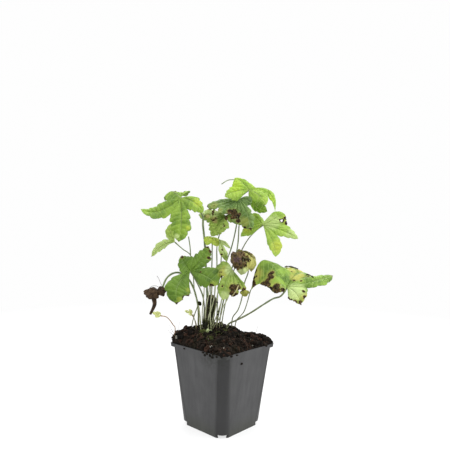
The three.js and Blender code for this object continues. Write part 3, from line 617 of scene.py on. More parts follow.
# Root threads and bark slivers lie in the heap, and a few thin roots stick up at its two sides.
tree, pitting, colour = grained("root_thread", 1200.0, 150.0, (46, 33, 25), (90, 68, 50))
root_thread = finish("root_thread", colour, 0.85, pitting, 0.15)
parts = []
t = np.linspace(-1, 1, 9)[:, None]
for start in on_soil(draw, THREAD_COUNT, -0.5, 0.97):
    heading = draw.uniform(0, 2 * math.pi)
    reach = draw.uniform(3, 9)
    across = np.array([math.cos(heading), math.sin(heading), 0])
    bend = np.array([-math.sin(heading), math.cos(heading), 0]) * draw.uniform(-2.5, 2.5)
    line = start + t * reach * across + t * t * bend
    line[:, :2] = np.clip(line[:, :2], -SOIL_HALF, SOIL_HALF)
    arch = draw.uniform(-0.3, 1.6) * (1 - t[:, 0] ** 2)
    line[:, 2] = soil_top(line[:, 0], line[:, 1]) + THREAD_LIFT + arch
    parts.append(tube(line, draw.uniform(0.12, 0.3), 5))
WHISKERS = (
    ((-54, -6, 103), (-60, -8, 110), (-62, -9, 117)), ((-54, -5, 102), (-61, -7, 106), (-64, -8, 111)),
    ((-53, -9, 101), (-59, -12, 105), (-60, -14, 112)), ((38, 12, 98), (41, 12, 106), (43, 13, 113)),
    ((-50, -2, 103), (-53, -1, 112), (-51, 0, 119)),
)
t = np.linspace(0, 1, 8)[:, None]
for line in WHISKERS:
    a, b, c = turned(line)
    bent = (1 - t) ** 2 * a + 2 * t * (1 - t) * b + t * t * c
    parts.append(tube(bent, np.linspace(0.25, 0.08, len(t)), 5))
mesh_piece("soil_threads", joined(parts), [root_thread])

# Moss: low green shoots that grow on the damp soil between the stalks.
tree = new_tree("moss")
colour = mixed(tree, attribute_value(tree, "tint"), paint(50, 58, 26), paint(112, 122, 56))
moss = finish("moss", colour, 0.9, noise(tree, object_place(tree), 900), 0.2)
MOSS_PATCHES = ((-22, -8, 6), (-8, -12, 6), (2, -8, 5), (-16, -20, 7), (-8, -28, 7), (-34, -8, 5),
                (20, -6, 4), (-24, -14, 5))
spots = []
for x, y, radius in MOSS_PATCHES:
    around = draw.normal(size=(MOSS_SHOOTS, 2)) * radius * 0.5
    spots.append(np.column_stack([x + around[:, 0], y + around[:, 1], np.zeros(MOSS_SHOOTS)]))
spots = turned(np.vstack(spots))
spots[:, 2] = soil_top(spots[:, 0], spots[:, 1]) + soil_lumps(spots) - MOSS_SINK
leaning = draw.normal(size=spots.shape) * 0.5 + (0, 0, 1)
shoots = spikes(spots, leaning, draw.uniform(0.8, 3.0, len(spots)), MOSS_RADIUS)
tints = np.tile([0.1, 0.1, 0.1, 0.9], len(spots))
mesh_piece("soil_moss", shoots, [moss], loose=True, values={"tint": tints})


# Rootstock. The short knotted stem that the plant grows from lies half buried among its stalks,
# pale olive where it is young and ringed by the scars of old leaves.
ROOTSTOCK_KNOTS = (1.6, 2.8, 3.1, 2.3, 2.7, 2.9, 2.1, 2.4, 2.5, 1.5)
ROOTSTOCK_LENGTH = 17
ROOTSTOCK_CENTRE = (-15, -7, 109.5)
ROOTSTOCK_DIP = math.radians(8)

tree, pitting, colour = grained("rootstock_skin", 800.0, 300.0, (112, 112, 66), (178, 180, 118))
colour = tinted(tree, colour, noise(tree, object_place(tree), 180, 4), 0.5, 0.62, 1.0, (70, 54, 36))
rootstock_skin = finish("rootstock_skin", colour, 0.7, pitting, 0.4)
s = np.linspace(0, 1, 90)
knots = np.interp(s * 10 - 0.5, np.arange(10), ROOTSTOCK_KNOTS) * (1 + 0.05 * np.cos(s * 120))
knots *= np.sqrt(np.clip(1 - (2 * s - 1) ** 8, 0.02, 1))
along = (s - 0.5) * ROOTSTOCK_LENGTH
line = np.array(ROOTSTOCK_CENTRE) + np.column_stack([
    0.3 * np.sin(9 * s), along * math.cos(ROOTSTOCK_DIP), along * math.sin(ROOTSTOCK_DIP)])
points, faces = tube(turned(line), knots, 28)
points += 0.12 * ripple(points, 3, 31)[:, None]
mesh_piece("rootstock_knots", (points, faces), [rootstock_skin], "rootstock")

# Two pale young buds stand at its front end: centre and size.
BUDS = (((-16.6, -15.5, 111.8), (2.7, 2.2, 2.7)), ((-13.6, -15, 110.8), (1.8, 1.6, 2.6)))
grown, triangles = stone_shape(3)
parts = [(turned(grown * size * (1 + 0.16 * ripple(grown + place, 1.4, 73))[:, None] + place), triangles)
         for place, size in BUDS]
tree, pitting, colour = grained("bud_skin", 900.0, 260.0, (118, 132, 78), (184, 196, 142))
bud_skin = finish("bud_skin", colour, 0.6, pitting, 0.2, through=(0.15, paint(190, 205, 140)))
mesh_piece("rootstock_buds", joined(parts), [bud_skin], "rootstock")


# Stalks. Last year's thick stalk has died back black and is bent over with both ends in the soil.
# Bare thin stalks and dead leaf bases stand beside it.
STALK_ROOTS = (101, 107, 113)
STALK_STEP = 1.3
FOOT_SWELL, FOOT_REACH = 0.12, 18
TOP_SWELL, TOP_REACH = 0.35, 3.5
STALK_WAVER = 0.05
HAIR_COUNT = 340
HAIR_LENGTH = 0.9
HAIR_RADIUS = 0.05


def course(points, step):
    """Places at even steps along a curve through the points. Between two points it is a cubic whose
    end slopes also depend on the points before and after, with square roots of distances as knots."""
    points = np.asarray(points, float)
    ends = np.vstack([2 * points[0] - points[1], points, 2 * points[-1] - points[-2]])
    gap = np.sqrt(np.linalg.norm(np.diff(ends, axis=0), axis=1))[:, None]
    before, start, stop, after = ends[:-3], ends[1:-2], ends[2:-1], ends[3:]
    d0, d1, d2 = gap[:-2], gap[1:-1], gap[2:]
    first = ((start - before) / d0 - (stop - before) / (d0 + d1) + (stop - start) / d1) * d1
    last = ((stop - start) / d1 - (after - start) / (d1 + d2) + (after - stop) / d2) * d1
    t = np.linspace(0, 1, 24, endpoint=False)[None, :, None]
    a, b, m, n = start[:, None], stop[:, None], first[:, None], last[:, None]
    line = a + m * t + (3 * b - 3 * a - 2 * m - n) * t**2 + (2 * a - 2 * b + m + n) * t**3
    line = np.vstack([line.reshape(-1, 3), points[-1]])
    lengths = np.concatenate([[0], np.cumsum(np.linalg.norm(np.diff(line, axis=0), axis=1))])
    even = np.linspace(0, lengths[-1], max(4, int(lengths[-1] / step)))
    return np.column_stack([np.interp(even, lengths, line[:, k]) for k in range(3)])


def rooted(points):
    """A stalk's points, where one without a height stands upright in the soil from root to collar."""
    full = []
    for i, point in enumerate(points):
        heights = STALK_ROOTS if i == 0 else STALK_ROOTS[::-1]
        full += [point] if len(point) == 3 else [(*point, z) for z in heights]
    return full


def stalk_tube(points, radius, seed, swollen=True, ridges=0.05):
    """A stalk: a tube whose radius grows a little at its foot and at its top, and wavers."""
    line = course(rooted(points), STALK_STEP)
    s = np.arange(len(line)) * STALK_STEP
    thick = radius * (1 + FOOT_SWELL * np.exp(-s / FOOT_REACH) + STALK_WAVER * ripple(line, 13, seed))
    if swollen:
        thick *= 1 + TOP_SWELL * np.exp(-((s[-1] - s) / TOP_REACH) ** 2)
    return line, thick, tube(turned(line), thick, 12, ridges)


def hairs_piece(name, line, thick, count, length, seed, stands_for):
    """A piece of fine hairs that stand off a stalk, at random places along and round it."""
    draw = np.random.default_rng(seed)
    place = draw.uniform(0.12, 1, count) * (len(line) - 1)
    index = place.astype(int)
    roots = turned(line[index])
    along = unit(turned(np.gradient(line, axis=0)[index]))
    out = unit(np.cross(along, draw.normal(size=(count, 3))))
    roots = roots + out * thick[index][:, None] * 0.9
    hairs = spikes(roots, out + 0.35 * along, draw.uniform(0.6, 1.2, count) * length, HAIR_RADIUS)
    mesh_piece(name, hairs, [hair_pale], stands_for, loose=True)


tree, _, colour = grained("stalk_black", 900.0, 180.0, (26, 22, 18), (58, 46, 32))
peeled = noise(tree, object_place(tree, (1, 1, 0.3)), 420, 4)
colour = tinted(tree, colour, peeled, 0.55, 0.66, 1.0, (112, 108, 62))
stalk_black = finish("stalk_black", colour, 0.75, peeled, 0.5)
OLD_STALK = ((-21, -5), (-20.5, -5, 121), (-19, -5, 132), (-18, -5, 143), (-16.5, -4.5, 149.5),
             (-12, -4, 150), (-10, -3, 146), (-12, -1, 137), (-14, 2, 128), (-16, 5, 119.5), (-16.5, 6))
bent = stalk_tube(OLD_STALK, 2.0, 41, swollen=False, ridges=0.1)[2]
mesh_piece("stalk_old_bent", bent, [stalk_black], "stalk_old")

# Living stalks are green and finely haired, pinkish and pale at the foot.
tree, pitting, colour = grained("stalk_green", 1100.0, 120.0, (98, 114, 70), (136, 150, 104))
colour = tinted(tree, colour, height_up(tree), 0.15, 0.108, 0.75, (168, 166, 128))
colour = tinted(tree, colour, noise(tree, object_place(tree), 70), 0.55, 0.7, 0.5, (116, 96, 74))
stalk_green = finish("stalk_green", colour, 0.5, pitting, 0.08, through=(0.15, paint(150, 180, 80)))

tree = new_tree("hair_pale")
colour = mixed(tree, noise(tree, object_place(tree), 60), paint(196, 206, 160), paint(226, 228, 200))
hair_pale = finish("hair_pale", colour, 0.6, through=(0.4, paint(226, 232, 190)))

# Thin stalks of leaves that have gone stand round the rootstock, pale and limp: points and radius.
tree, pitting, colour = grained("stalk_pale_skin", 1100.0, 120.0, (164, 168, 130), (202, 205, 168))
colour = tinted(tree, colour, height_up(tree), 0.14, 0.11, 0.6, (120, 122, 78))
stalk_pale_skin = finish("stalk_pale_skin", colour, 0.55, pitting, 0.08,
                         through=(0.2, paint(190, 200, 140)))
BARE_STALKS = (
    (((-25.5, -8), (-26, -5, 120.5), (-27.5, 2, 129), (-29.6, 7.6, 139)), 0.75),
    (((-13.5, -10), (-14.5, -11, 129.5), (-14, -11, 147), (-13, -11, 158.5), (-13, -10, 168)), 0.6),
    (((-14.5, -9), (-11.3, -10, 126), (-8, -10, 140), (-6.5, -10, 150.5), (-5.5, -10, 168)), 0.6),
    (((-13, -8), (-8, -9, 126), (-5, -9, 135), (-1, -9, 149), (1, -9, 162), (2, -9, 172)), 0.65),
    (((-11.5, -8), (-6.6, -9, 121), (-2.6, -9, 128), (0.3, -9, 139), (5, -10, 148), (8, -12, 158)), 0.6),
    (((-23, -4), (-24.3, -4, 128), (-23.5, -4, 142), (-22.5, -4, 155), (-22.5, -4, 166)), 0.6),
    (((-19.3, -7), (-20.2, -8, 129), (-18.6, -8, 143), (-16.5, -8, 156), (-16, -8, 168)), 0.65),
    (((-16.5, -10), (-16.5, -10, 126), (-13.2, -10, 137.5), (-10, -10, 151.5), (-9, -9.5, 168)), 0.65),
    (((-31.3, -3), (-33.3, -3, 123), (-35, -3, 129)), 0.4),
)
parts = [stalk_tube(points, radius, seed, swollen=False)[2]
         for seed, (points, radius) in enumerate(BARE_STALKS)]
mesh_piece("stalks_bare", joined(parts), [stalk_pale_skin])

# Dead leaf bases, dark and folded, fill the old stalk's bend and sit among the feet of the others,
# and a few scraps have caught on stalks higher up: centre and size.
SCRAPS = (
    ((-18, -9, 117.5), (3, 2, 7)), ((-22.3, -7, 119.5), (1.6, 1.4, 4)), ((-13.8, -7.5, 117), (2.4, 2, 6.5)),
    ((-17.2, -6, 133), (1.5, 1.2, 3.2)), ((-28.6, 7.6, 139.8), (1.9, 1.2, 2.4)),
    ((-13.4, -2.6, 134), (3.3, 1.3, 14)), ((-15.5, -2, 120), (4, 1.8, 9)),
    ((-6.6, -10.8, 144.4), (1, 0.9, 1.2)), ((-4.8, -9.9, 133.6), (0.9, 0.9, 0.9)),
    ((-5.9, -9.9, 130), (0.9, 0.9, 0.9)),
)
grown, triangles = stone_shape(3)
parts = []
for place, size in SCRAPS:
    bumpy = grown * (1 + 0.22 * ripple(grown + place, 1.4, 72))[:, None]
    parts.append((turned(bumpy * size + place), triangles))
tree = new_tree("sheath_olive")
folds = noise(tree, object_place(tree, (1, 1, 0.2)), 500, 5, 0.6)
colour = mixed(tree, ramp(tree, folds, 0.4, 0.6), paint(22, 22, 12), paint(50, 52, 22))
colour = tinted(tree, colour, folds, 0.6, 0.72, 0.8, (104, 106, 52))
sheath_olive = finish("sheath_olive", colour, 0.85, folds, 0.6, shine=0.2)
mesh_piece("stalk_scraps", joined(parts), [sheath_olive])

# A thin kinked stalk, right of the middle, has lost its blade.
THIN_STALK = ((15, 8), (17, 7, 121), (21, 4, 126), (25, 0, 132), (28, -5, 142), (30, -9, 151),
              (32, -13, 160))
kinked = stalk_tube(THIN_STALK, 0.6, 42, swollen=False)[2]
mesh_piece("stalk_thin_bare", kinked, [stalk_green], "stalk_thin")


# Leaves. Each blade is palmate: lobes spread from the top of its stalk, with a main vein down each,
# side veins that lean forward, skin raised between them, and a toothed edge. Autumn has browned
# some, first at the edge and with yellow round the brown.
VEIN_LAG = 0.45
TOOTH_PEAK = 0.7
TOOTH_LEAN = 0.6
FINE_TEETH = 0.22
LEAST_SWELL = 0.025
BLADE_PUFF = 0.03
BLADE_THICKNESS = 0.42
VEIN_SPACING = 4.5
GROOVE_WIDTH = 0.9
GROOVE_DEPTH = 0.3
QUILT_WIDTH = 8
FULL_GRID = (12, 45, 18)
SMALL_GRID = (5, 14, 7)
OTHER_GREEN = (198, 215, 146)
DEAD_BROWN = (108, 86, 48)
DEAD_BLACK = (44, 36, 18)
VEIN_DEPTH = 0.2
RIB_END = 0.85
RIB_BELOW = 0.45


def lobes_of(apex, lobes):
    """The lobes with their axes and side directions. A lobe's side is square to its axis and to the
    mean normal of the planes that it makes with its neighbours, and is rolled about the axis."""
    made = []
    for tip, mid, roll, width, *web in lobes:
        tip, mid = np.subtract(tip, apex), np.subtract(mid, apex)
        made.append(SimpleNamespace(
            apex=np.array(apex, float), tip=tip, mid=mid, axis=unit(tip + mid), width=width,
            length=np.linalg.norm(tip), web=web[0] if web else None, roll=math.radians(roll)))
    crosses = [unit(np.cross(a.axis, b.axis)) for a, b in zip(made, made[1:])]
    for k, lobe in enumerate(made):
        normal = unit(sum(crosses[max(0, k - 1):k + 1], np.zeros(3)))
        side = unit(np.cross(normal, lobe.axis))
        lobe.side = side * math.cos(lobe.roll) + np.cross(lobe.axis, side) * math.sin(lobe.roll)
    return made


def midrib(lobe, t):
    """The main vein at t: apex + 4t(1 - t) mid + t(2t - 1) tip."""
    t = np.asarray(t, float)[..., None]
    return lobe.apex + 4 * t * (1 - t) * lobe.mid + t * (2 * t - 1) * lobe.tip


def lobe_frame(lobe, t):
    """Directions along the main vein at t, across it and up from it."""
    t = np.asarray(t, float)[..., None]
    along = unit((4 - 8 * t) * lobe.mid + (4 * t - 1) * lobe.tip)
    side = unit(lobe.side - along * (along @ lobe.side)[..., None])
    return along, side, np.cross(along, side)


def saw(out, teeth):
    """A tooth's rise at a share out along the edge: a slow bowed rise and a quicker fall."""
    phase = np.where(out >= 1, 1, (out * teeth) % 1)
    return np.where(phase < TOOTH_PEAK, (phase / TOOTH_PEAK) ** 0.8,
                    (np.clip(1 - phase, 0, 1) / (1 - TOOTH_PEAK)) ** 1.1)


def lobe_edge(leaf, k, hand):
    """Along one half of a lobe: the share v of its length, the share out past the web, and the edge.
    The edge follows the web shared with the next lobe out to the sinus, then swells as
    sin(pi out^1.25) with teeth, to the tip."""
    lobes, sinus = leaf.lobes, leaf.sinus
    lobe = lobes[k]
    neighbour = lobes[k + hand] if 0 <= k + hand < len(lobes) else None
    web_rows, out_rows, _ = leaf.grid
    web = np.concatenate([np.linspace(0, 1, web_rows + 1), np.ones(out_rows)])
    out = np.concatenate([np.zeros(web_rows + 1), np.linspace(0, 1, out_rows + 1)[1:]])
    v = sinus * web + (1 - sinus) * out
    full = lobe.width[1 if hand > 0 else 0] * lobe.length
    if neighbour:
        shared = (lobe.web if hand > 0 else neighbour.web) or sinus
        start = shared * (1 + lobe.axis @ neighbour.axis) / 2
        offset = (midrib(lobe, shared) + midrib(neighbour, shared)) / 2 - midrib(lobe, start)
        peak = max(full - 0.5 * np.linalg.norm(offset), LEAST_SWELL * lobe.length)
        t, swell = start + (1 - start) * out, np.sin(math.pi * out**1.25)
    else:
        offset, peak = np.zeros(3), full
        t, swell = v, np.sin(math.pi * v**1.1)
    along, side, up = lobe_frame(lobe, t)
    fold = math.radians(leaf.fold)
    lateral = hand * math.cos(fold) * side - math.sin(fold) * up
    tooth = (saw(out, leaf.teeth) + FINE_TEETH * saw(out, 3 * leaf.teeth)) * leaf.tooth * lobe.length
    tooth *= np.minimum(1, 4 * (1 - out)) * (out > 0)
    edge = midrib(lobe, t) + lateral * (peak * swell + tooth)[:, None]
    edge += along * (TOOTH_LEAN * tooth)[:, None] + offset * (1 - out)[:, None]
    if neighbour:
        joint = (midrib(lobe, shared * web) + midrib(neighbour, shared * web)) / 2
        edge = np.where((out == 0)[:, None], joint, edge)
    return v, out, edge


def half_lobe(leaf, k, hand):
    """One half of a lobe as a grid from the main vein to the edge. Its skin is puffed up, quilted
    between the side veins, wavy near the edge and grooved along the main vein."""
    lobe = leaf.lobes[k]
    v, out, edge = lobe_edge(leaf, k, hand)
    spine = v - VEIN_LAG * v * (1 - v)
    inner = midrib(lobe, spine)
    up = lobe_frame(lobe, spine)[2]
    c = np.linspace(0, 1, leaf.grid[2] + 1) ** 1.1
    half_width = np.linalg.norm(edge - inner, axis=1)
    veins = max(2, round(lobe.length / VEIN_SPACING))
    bulge = BLADE_PUFF * lobe.length * 4 * v * (1 - v)
    quilt = leaf.quilt * np.minimum(1, half_width / QUILT_WIDTH)
    quilt = quilt * (0.5 + 0.5 * np.cos(2 * math.pi * veins * v))
    sway = leaf.sway * np.sin(2 * math.pi * (1.6 * v + 0.37 * k + 0.2 * hand)) * eased(out, 0, 0.3)
    lift = np.sin(math.pi * c) * bulge[:, None] + np.sin(math.pi * c**0.8) * quilt[:, None]
    lift = lift + c**2 * (sway * (1 - out**3))[:, None]
    off_vein = c * half_width[:, None] / GROOVE_WIDTH
    lift -= leaf.groove * np.exp(-(off_vein**2)) * (4 * v * (1 - v))[:, None]
    points = inner[:, None] + c[None, :, None] * (edge - inner)[:, None] + up[:, None] * lift[..., None]
    across = np.dstack(np.broadcast_arrays((v * veins)[:, None], hand * c * half_width[:, None]))
    faces = grid_faces(*points.shape[:2])
    if hand > 0:
        faces = faces[:, ::-1]
    return SimpleNamespace(points=points, across=across, v=v, c=c, faces=faces)


def spot(halves, place):
    """The point of a blade at a lobe's number, a hand, a share v along it and a share c across it."""
    k, hand, v, c, _ = place
    half = halves[k, hand]
    return half.points[np.abs(half.v - v).argmin(), np.abs(half.c - c).argmin()]


def spread(points, halves, places, grown=1):
    """How far points lie within round spots: 1 at the middle, a half just past the radius, then 0. The
    spots may be grown."""
    value = np.zeros(len(points))
    for place in places:
        far = np.linalg.norm(points - spot(halves, place), axis=1)
        radius = grown * place[4]
        value = np.maximum(value, 1 - eased(far, 0.4 * radius, 1.9 * radius))
    return value


# Leaf tissue: two greens in patches and spots of another, a pale net of veins, yellowing, and brown
# dead skin.
tissue, given, results = shader_group("leaf_tissue", {
    "Vector": "Place Across", "Float": "Withered Yellowing Toning",
    "Color": "Fresh Deep Vein Yellow Toned Brown Black",
}, {"Color": "Colour", "Float": "Dead Height"})
patches = noise(tissue, given["Place"], 70, 3)
mottle = noise(tissue, given["Place"], 420, 3)
ragged = noise(tissue, given["Place"], 330, 6, 0.7)
flat_place = node(tissue, "ShaderNodeSeparateXYZ", {"Vector": given["Across"]}).outputs
off_main = calc(tissue, "ABSOLUTE", flat_place[1])
main_vein = ramp(tissue, off_main, 0.75, 0.2)
off_side = calc(tissue, "ABSOLUTE", calc(tissue, "SUBTRACT", calc(tissue, "FRACT", flat_place[0]), 0.5))
side_vein = ramp(tissue, off_side, 0.1, 0.03)
cells = node(tissue, "ShaderNodeTexVoronoi", {"Vector": given["Place"], "Scale": 620.0},
             feature="DISTANCE_TO_EDGE").outputs[0]
net = ramp(tissue, cells, 0.14, 0.0, 0, 0.15)
veins = calc(tissue, "MAXIMUM", main_vein, calc(tissue, "MULTIPLY", side_vein, 0.7))
veins = calc(tissue, "MAXIMUM", veins, net)
colour = mixed(tissue, ramp(tissue, patches, 0.35, 0.65), given["Deep"], given["Fresh"])
colour = mixed(tissue, ramp(tissue, mottle, 0.35, 0.7, 0, 0.45), colour, given["Fresh"])
uneven = calc(tissue, "MULTIPLY", calc(tissue, "SUBTRACT", ragged, 0.5), 1.5)
softer = calc(tissue, "MULTIPLY", uneven, 0.5)
yellowed = ramp(tissue, calc(tissue, "ADD", given["Yellowing"], softer), 0.1, 1.05, 0, 0.9)
colour = mixed(tissue, yellowed, colour, given["Yellow"])
toned = ramp(tissue, calc(tissue, "ADD", given["Toning"], softer), 0.1, 0.9, 0, 0.9)
colour = mixed(tissue, toned, colour, given["Toned"])
colour = mixed(tissue, calc(tissue, "MULTIPLY", veins, 0.62), colour, given["Vein"])
drying = calc(tissue, "ADD", given["Withered"], uneven)
dead = ramp(tissue, drying, 0.42, 0.62)
burnt = mixed(tissue, ramp(tissue, mottle, 0.4, 0.62), given["Black"], given["Brown"])
burnt = mixed(tissue, ramp(tissue, drying, 0.75, 0.5, 0, 0.8), burnt, given["Brown"])
tissue.links.new(mixed(tissue, dead, colour, burnt), results.inputs["Colour"])
tissue.links.new(dead, results.inputs["Dead"])
sunk = calc(tissue, "MULTIPLY", veins, -1.0)
crinkled = calc(tissue, "MULTIPLY", calc(tissue, "MULTIPLY", ragged, dead), 4.0)
tissue.links.new(calc(tissue, "ADD", calc(tissue, "ADD", sunk, crinkled), mottle), results.inputs["Height"])


def leaf_skins(name, upper, under, through=(0.4, 0.4)):
    """The skins of a blade's upper side and of its underside, which is duller with raised veins. Each
    has its fresh, deep, vein and yellow colours, and that of its other green if it isn't the usual
    one. through is the share of light that comes through each."""
    skins = []
    for side, colours, share in (("upper", upper, through[0]), ("under", under, through[1])):
        tree = new_tree(f"{name}_{side}")
        paints = zip(("fresh", "deep", "vein", "yellow", "toned"), (*colours, OTHER_GREEN))
        made = placed(
            tree, tissue, place=object_place(tree),
            across=node(tree, "ShaderNodeUVMap", uv_map="across").outputs[0],
            withered=attribute_value(tree, "withered"), yellowing=attribute_value(tree, "yellowing"),
            toning=attribute_value(tree, "toning"), brown=paint(*DEAD_BROWN), black=paint(*DEAD_BLACK),
            **{label: paint(*colour) for label, colour in paints})
        rough = ramp(tree, made["Dead"], 0, 1, 0.5 if side == "upper" else 0.62, 0.85)
        depth = VEIN_DEPTH if side == "upper" else -VEIN_DEPTH
        skins.append(finish(f"{name}_{side}", made["Colour"], rough, made["Height"], depth,
                            through=(share, made["Colour"]), shine=0.35))
    return skins


def leaf(name, slot, apex, lobes, stalk, radius, skins, sinus=0.42, tooth=0.05, fold=10, teeth=3,
         spurs=(), brown=(), yellow=(), toned=(), holes=(), mottled=0.0, small=False, stalk_skin=None,
         sway=0.8, quilt=0.4, crumple=1.0):
    """A whole leaf: its blade with its two skins, and its stalk with the ribs under the blade. A lobe
    has a tip, a middle, a roll, the widths of its halves as shares of its length, and how far the web
    to the next lobe reaches if not to the sinus. brown, yellow, toned and holes are round spots:
    lobe, hand, share along, share across and radius. mottled is how withered the rest is, and
    withered skin is crumpled by up to crumple. spurs are side stalks: radius and points."""
    made = SimpleNamespace(lobes=lobes_of(apex, lobes), sinus=sinus, tooth=tooth, fold=fold, teeth=teeth,
                           sway=sway, quilt=quilt, groove=0 if small else GROOVE_DEPTH,
                           grid=SMALL_GRID if small else FULL_GRID)
    halves = {(k, hand): half_lobe(made, k, hand) for k in range(len(lobes)) for hand in (1, -1)}
    points, faces = joined([(half.points.reshape(-1, 3), half.faces) for half in halves.values()])
    withered = np.maximum(spread(points, halves, brown), mottled)
    withered = np.maximum(withered, spread(points, halves, holes, 1.5))
    yellowing = np.maximum(spread(points, halves, yellow), 0.8 * spread(points, halves, brown, 1.5))
    gone = spread(points, halves, holes) > 0.5
    faces = faces[~gone[faces].all(axis=1)]
    bent = [ripple(points, 7, seed) + 0.5 * ripple(points, 2.5, seed) for seed in (61, 62, 63)]
    points = points + 0.4 * crumple * withered[:, None] * np.stack(bent, axis=-1)
    across = np.concatenate([half.across.reshape(-1, 2) for half in halves.values()])
    toning = spread(points, halves, toned)
    blade = mesh_piece(name + "_blade", (turned(points), faces), skins, name, across=across,
                       values={"withered": withered, "yellowing": yellowing, "toning": toning})
    wall = blade.modifiers.new("thickness", "SOLIDIFY")
    wall.thickness = BLADE_THICKNESS * MM
    wall.offset = 0
    wall.material_offset = 1
    line, thick, shape = stalk_tube(stalk, radius, seed=len(name) + len(stalk))
    parts = [shape] + [stalk_tube(points, size, 7, swollen=False)[2] for size, points in spurs]
    t = np.linspace(0, RIB_END, 26)
    for lobe in made.lobes:
        below = midrib(lobe, t) - lobe_frame(lobe, t)[2] * RIB_BELOW * (1 - t)[:, None]
        parts.append(tube(turned(below), np.linspace(min(0.55, 0.6 * radius), 0.12, len(t)), 6))
    mesh_piece(name + "_stalk", joined(parts), [stalk_skin or stalk_green], name)
    count, length = (60, 0.5) if small else (HAIR_COUNT, HAIR_LENGTH)
    hairs_piece(name + "_hairs", line, thick, count, length, len(name), name)


# Upper left leaf. The largest blade, mid green and held level to the left, with a long lobe that
# hangs towards the pot's left corner.
upper_left_skins = leaf_skins(
    "upper_left", ((148, 180, 62), (98, 134, 42), (172, 198, 96), (182, 200, 70)),
    ((142, 166, 84), (122, 148, 70), (176, 192, 116), (190, 192, 100)))
leaf(
    "leaf_upper_left", "leaf_green", (-51, -14, 265),
    (((-46, 6, 268), (-49, -2, 272), -30, (0.34, 0.34)),
     ((-70, -4, 262), (-63, -8, 273), 60, (0.36, 0.36)),
     ((-94, -30, 251), (-74, -26, 249), 10, (0.06, 0.21)),
     ((-50, -38, 215), (-48, -30, 241), 0, (0.17, 0.18)),
     ((-24, -16, 249), (-36, -18, 260.5), 0, (0.28, 0.26))),
    ((-20, 8), (-19, 7, 144), (-21, 5, 183), (-23, 3, 214), (-25, 0, 233), (-26, -5, 247), (-36, -7, 257),
     (-47, -12, 263), (-51, -14, 265)),
    1.2, upper_left_skins, sinus=0.44,
    brown=((1, -1, 0.45, 0.4, 1.2), (0, -1, 0.55, 0.2, 2.4)),
    yellow=((4, 1, 0.7, 0.35, 5), (3, 1, 0.75, 0.7, 2.5)),
    toned=((3, -1, 0.9, 0.6, 2.5),),
)


# Left small leaf. Pale green and only half open, with one lobe up and one hanging to the left. A
# bare side stalk stands at the bend of its own stalk.
left_small_skins = leaf_skins(
    "left_small", ((190, 212, 112), (166, 194, 88), (212, 224, 150), (206, 206, 110)),
    ((168, 190, 108), (150, 174, 92), (198, 212, 140), (200, 202, 118)))
leaf(
    "leaf_left_small", "leaf_light", (-59, 8, 213),
    (((-61, 2, 236), (-64, 6, 224), 0, (0.24, 0.24)),
     ((-86, 2, 195), (-74, 6, 209), 0, (0.14, 0.12))),
    ((-37, 10), (-34, 8, 126), (-30, 8, 140), (-34, 9, 151), (-36, 10, 168), (-40, 11, 197), (-50, 10, 205),
     (-59, 8, 213)),
    0.6, left_small_skins, sinus=0.3, tooth=0.04,
    spurs=((0.6, ((-40, 11, 196), (-41, 11, 208), (-43, 11, 220))),),
    brown=((1, -1, 1.0, 0.5, 1.2),),
    toned=((1, -1, 0.8, 0.5, 7), (1, -1, 0.5, 0.4, 7)),
)


# Lower left leaf. Dark green, facing the front corner, with one lobe that hangs low and has dried
# black along one side and at its tip.
lower_left_skins = leaf_skins(
    "lower_left", ((118, 152, 50), (78, 112, 32), (146, 178, 84), (160, 176, 66)),
    ((136, 162, 84), (112, 142, 66), (166, 188, 110), (186, 188, 96)))
leaf(
    "leaf_lower_left", "leaf_green", (-38, -18, 181),
    (((-6, -32, 167), (-21, -26, 177), 0, (0.3, 0.38)),
     ((-18, -2, 209), (-27, -12, 193), 0, (0.24, 0.16), 0.72),
     ((-49, -10, 198), (-45, -16, 189), 0, (0.36, 0.36)),
     ((-50, -42, 147), (-50, -36, 167), 0, (0.28, 0.36))),
    ((-23.5, 1), (-22, 0, 136), (-24, -4, 151), (-28, -10, 162), (-34, -15, 174), (-38, -18, 181)),
    0.8, lower_left_skins, sinus=0.4, fold=12,
    brown=((2, -1, 1.0, 1.0, 2.2), (2, 1, 0.95, 0.1, 2.0), (0, -1, 0.87, 0.8, 2.0),
           (0, 1, 0.45, 0.25, 0.8), (1, 1, 0.97, 1.0, 2.4), (1, -1, 0.75, 0.7, 2.0),
           (1, -1, 0.9, 0.9, 2.2), (3, 1, 0.75, 1.0, 1.8), (3, -1, 1.0, 0, 2.0),
           (3, 1, 0.45, 1.0, 1.6), (3, 1, 0.85, 1.0, 2.2)),
    yellow=((0, 1, 0.85, 1.0, 3), (3, 1, 0.9, 0.6, 3), (3, 1, 0.55, 0.7, 2.5), (0, -1, 0.9, 0.6, 4)),
)


# Front middle leaf. Pale green and hanging over the pot's front corner with its lobes close together.
# Two of them have dried at the tips into a dark curl, a pale strip and an olive ball.
SHRED_STEP = 0.8


def dried_skin(name, dark, light, crease, painted_sheen=None):
    """Dead skin, mottled from dark to light with paler creases, and in places a painted sheen of another
    colour.
    """
    tree, _, colour = grained(name, 700.0, 170.0, dark, light)
    creases = noise(tree, object_place(tree), 330, 6, 0.65)
    # Painted sheen: patches of another colour laid over the skin.
    if painted_sheen:
        colour = tinted(tree, colour, noise(tree, object_place(tree), 120, 3), 0.5, 0.66, 0.7, painted_sheen)
    colour = tinted(tree, colour, creases, 0.52, 0.7, 0.9, crease)
    return finish(name, colour, 0.8, creases, 1.2, shine=0.2)


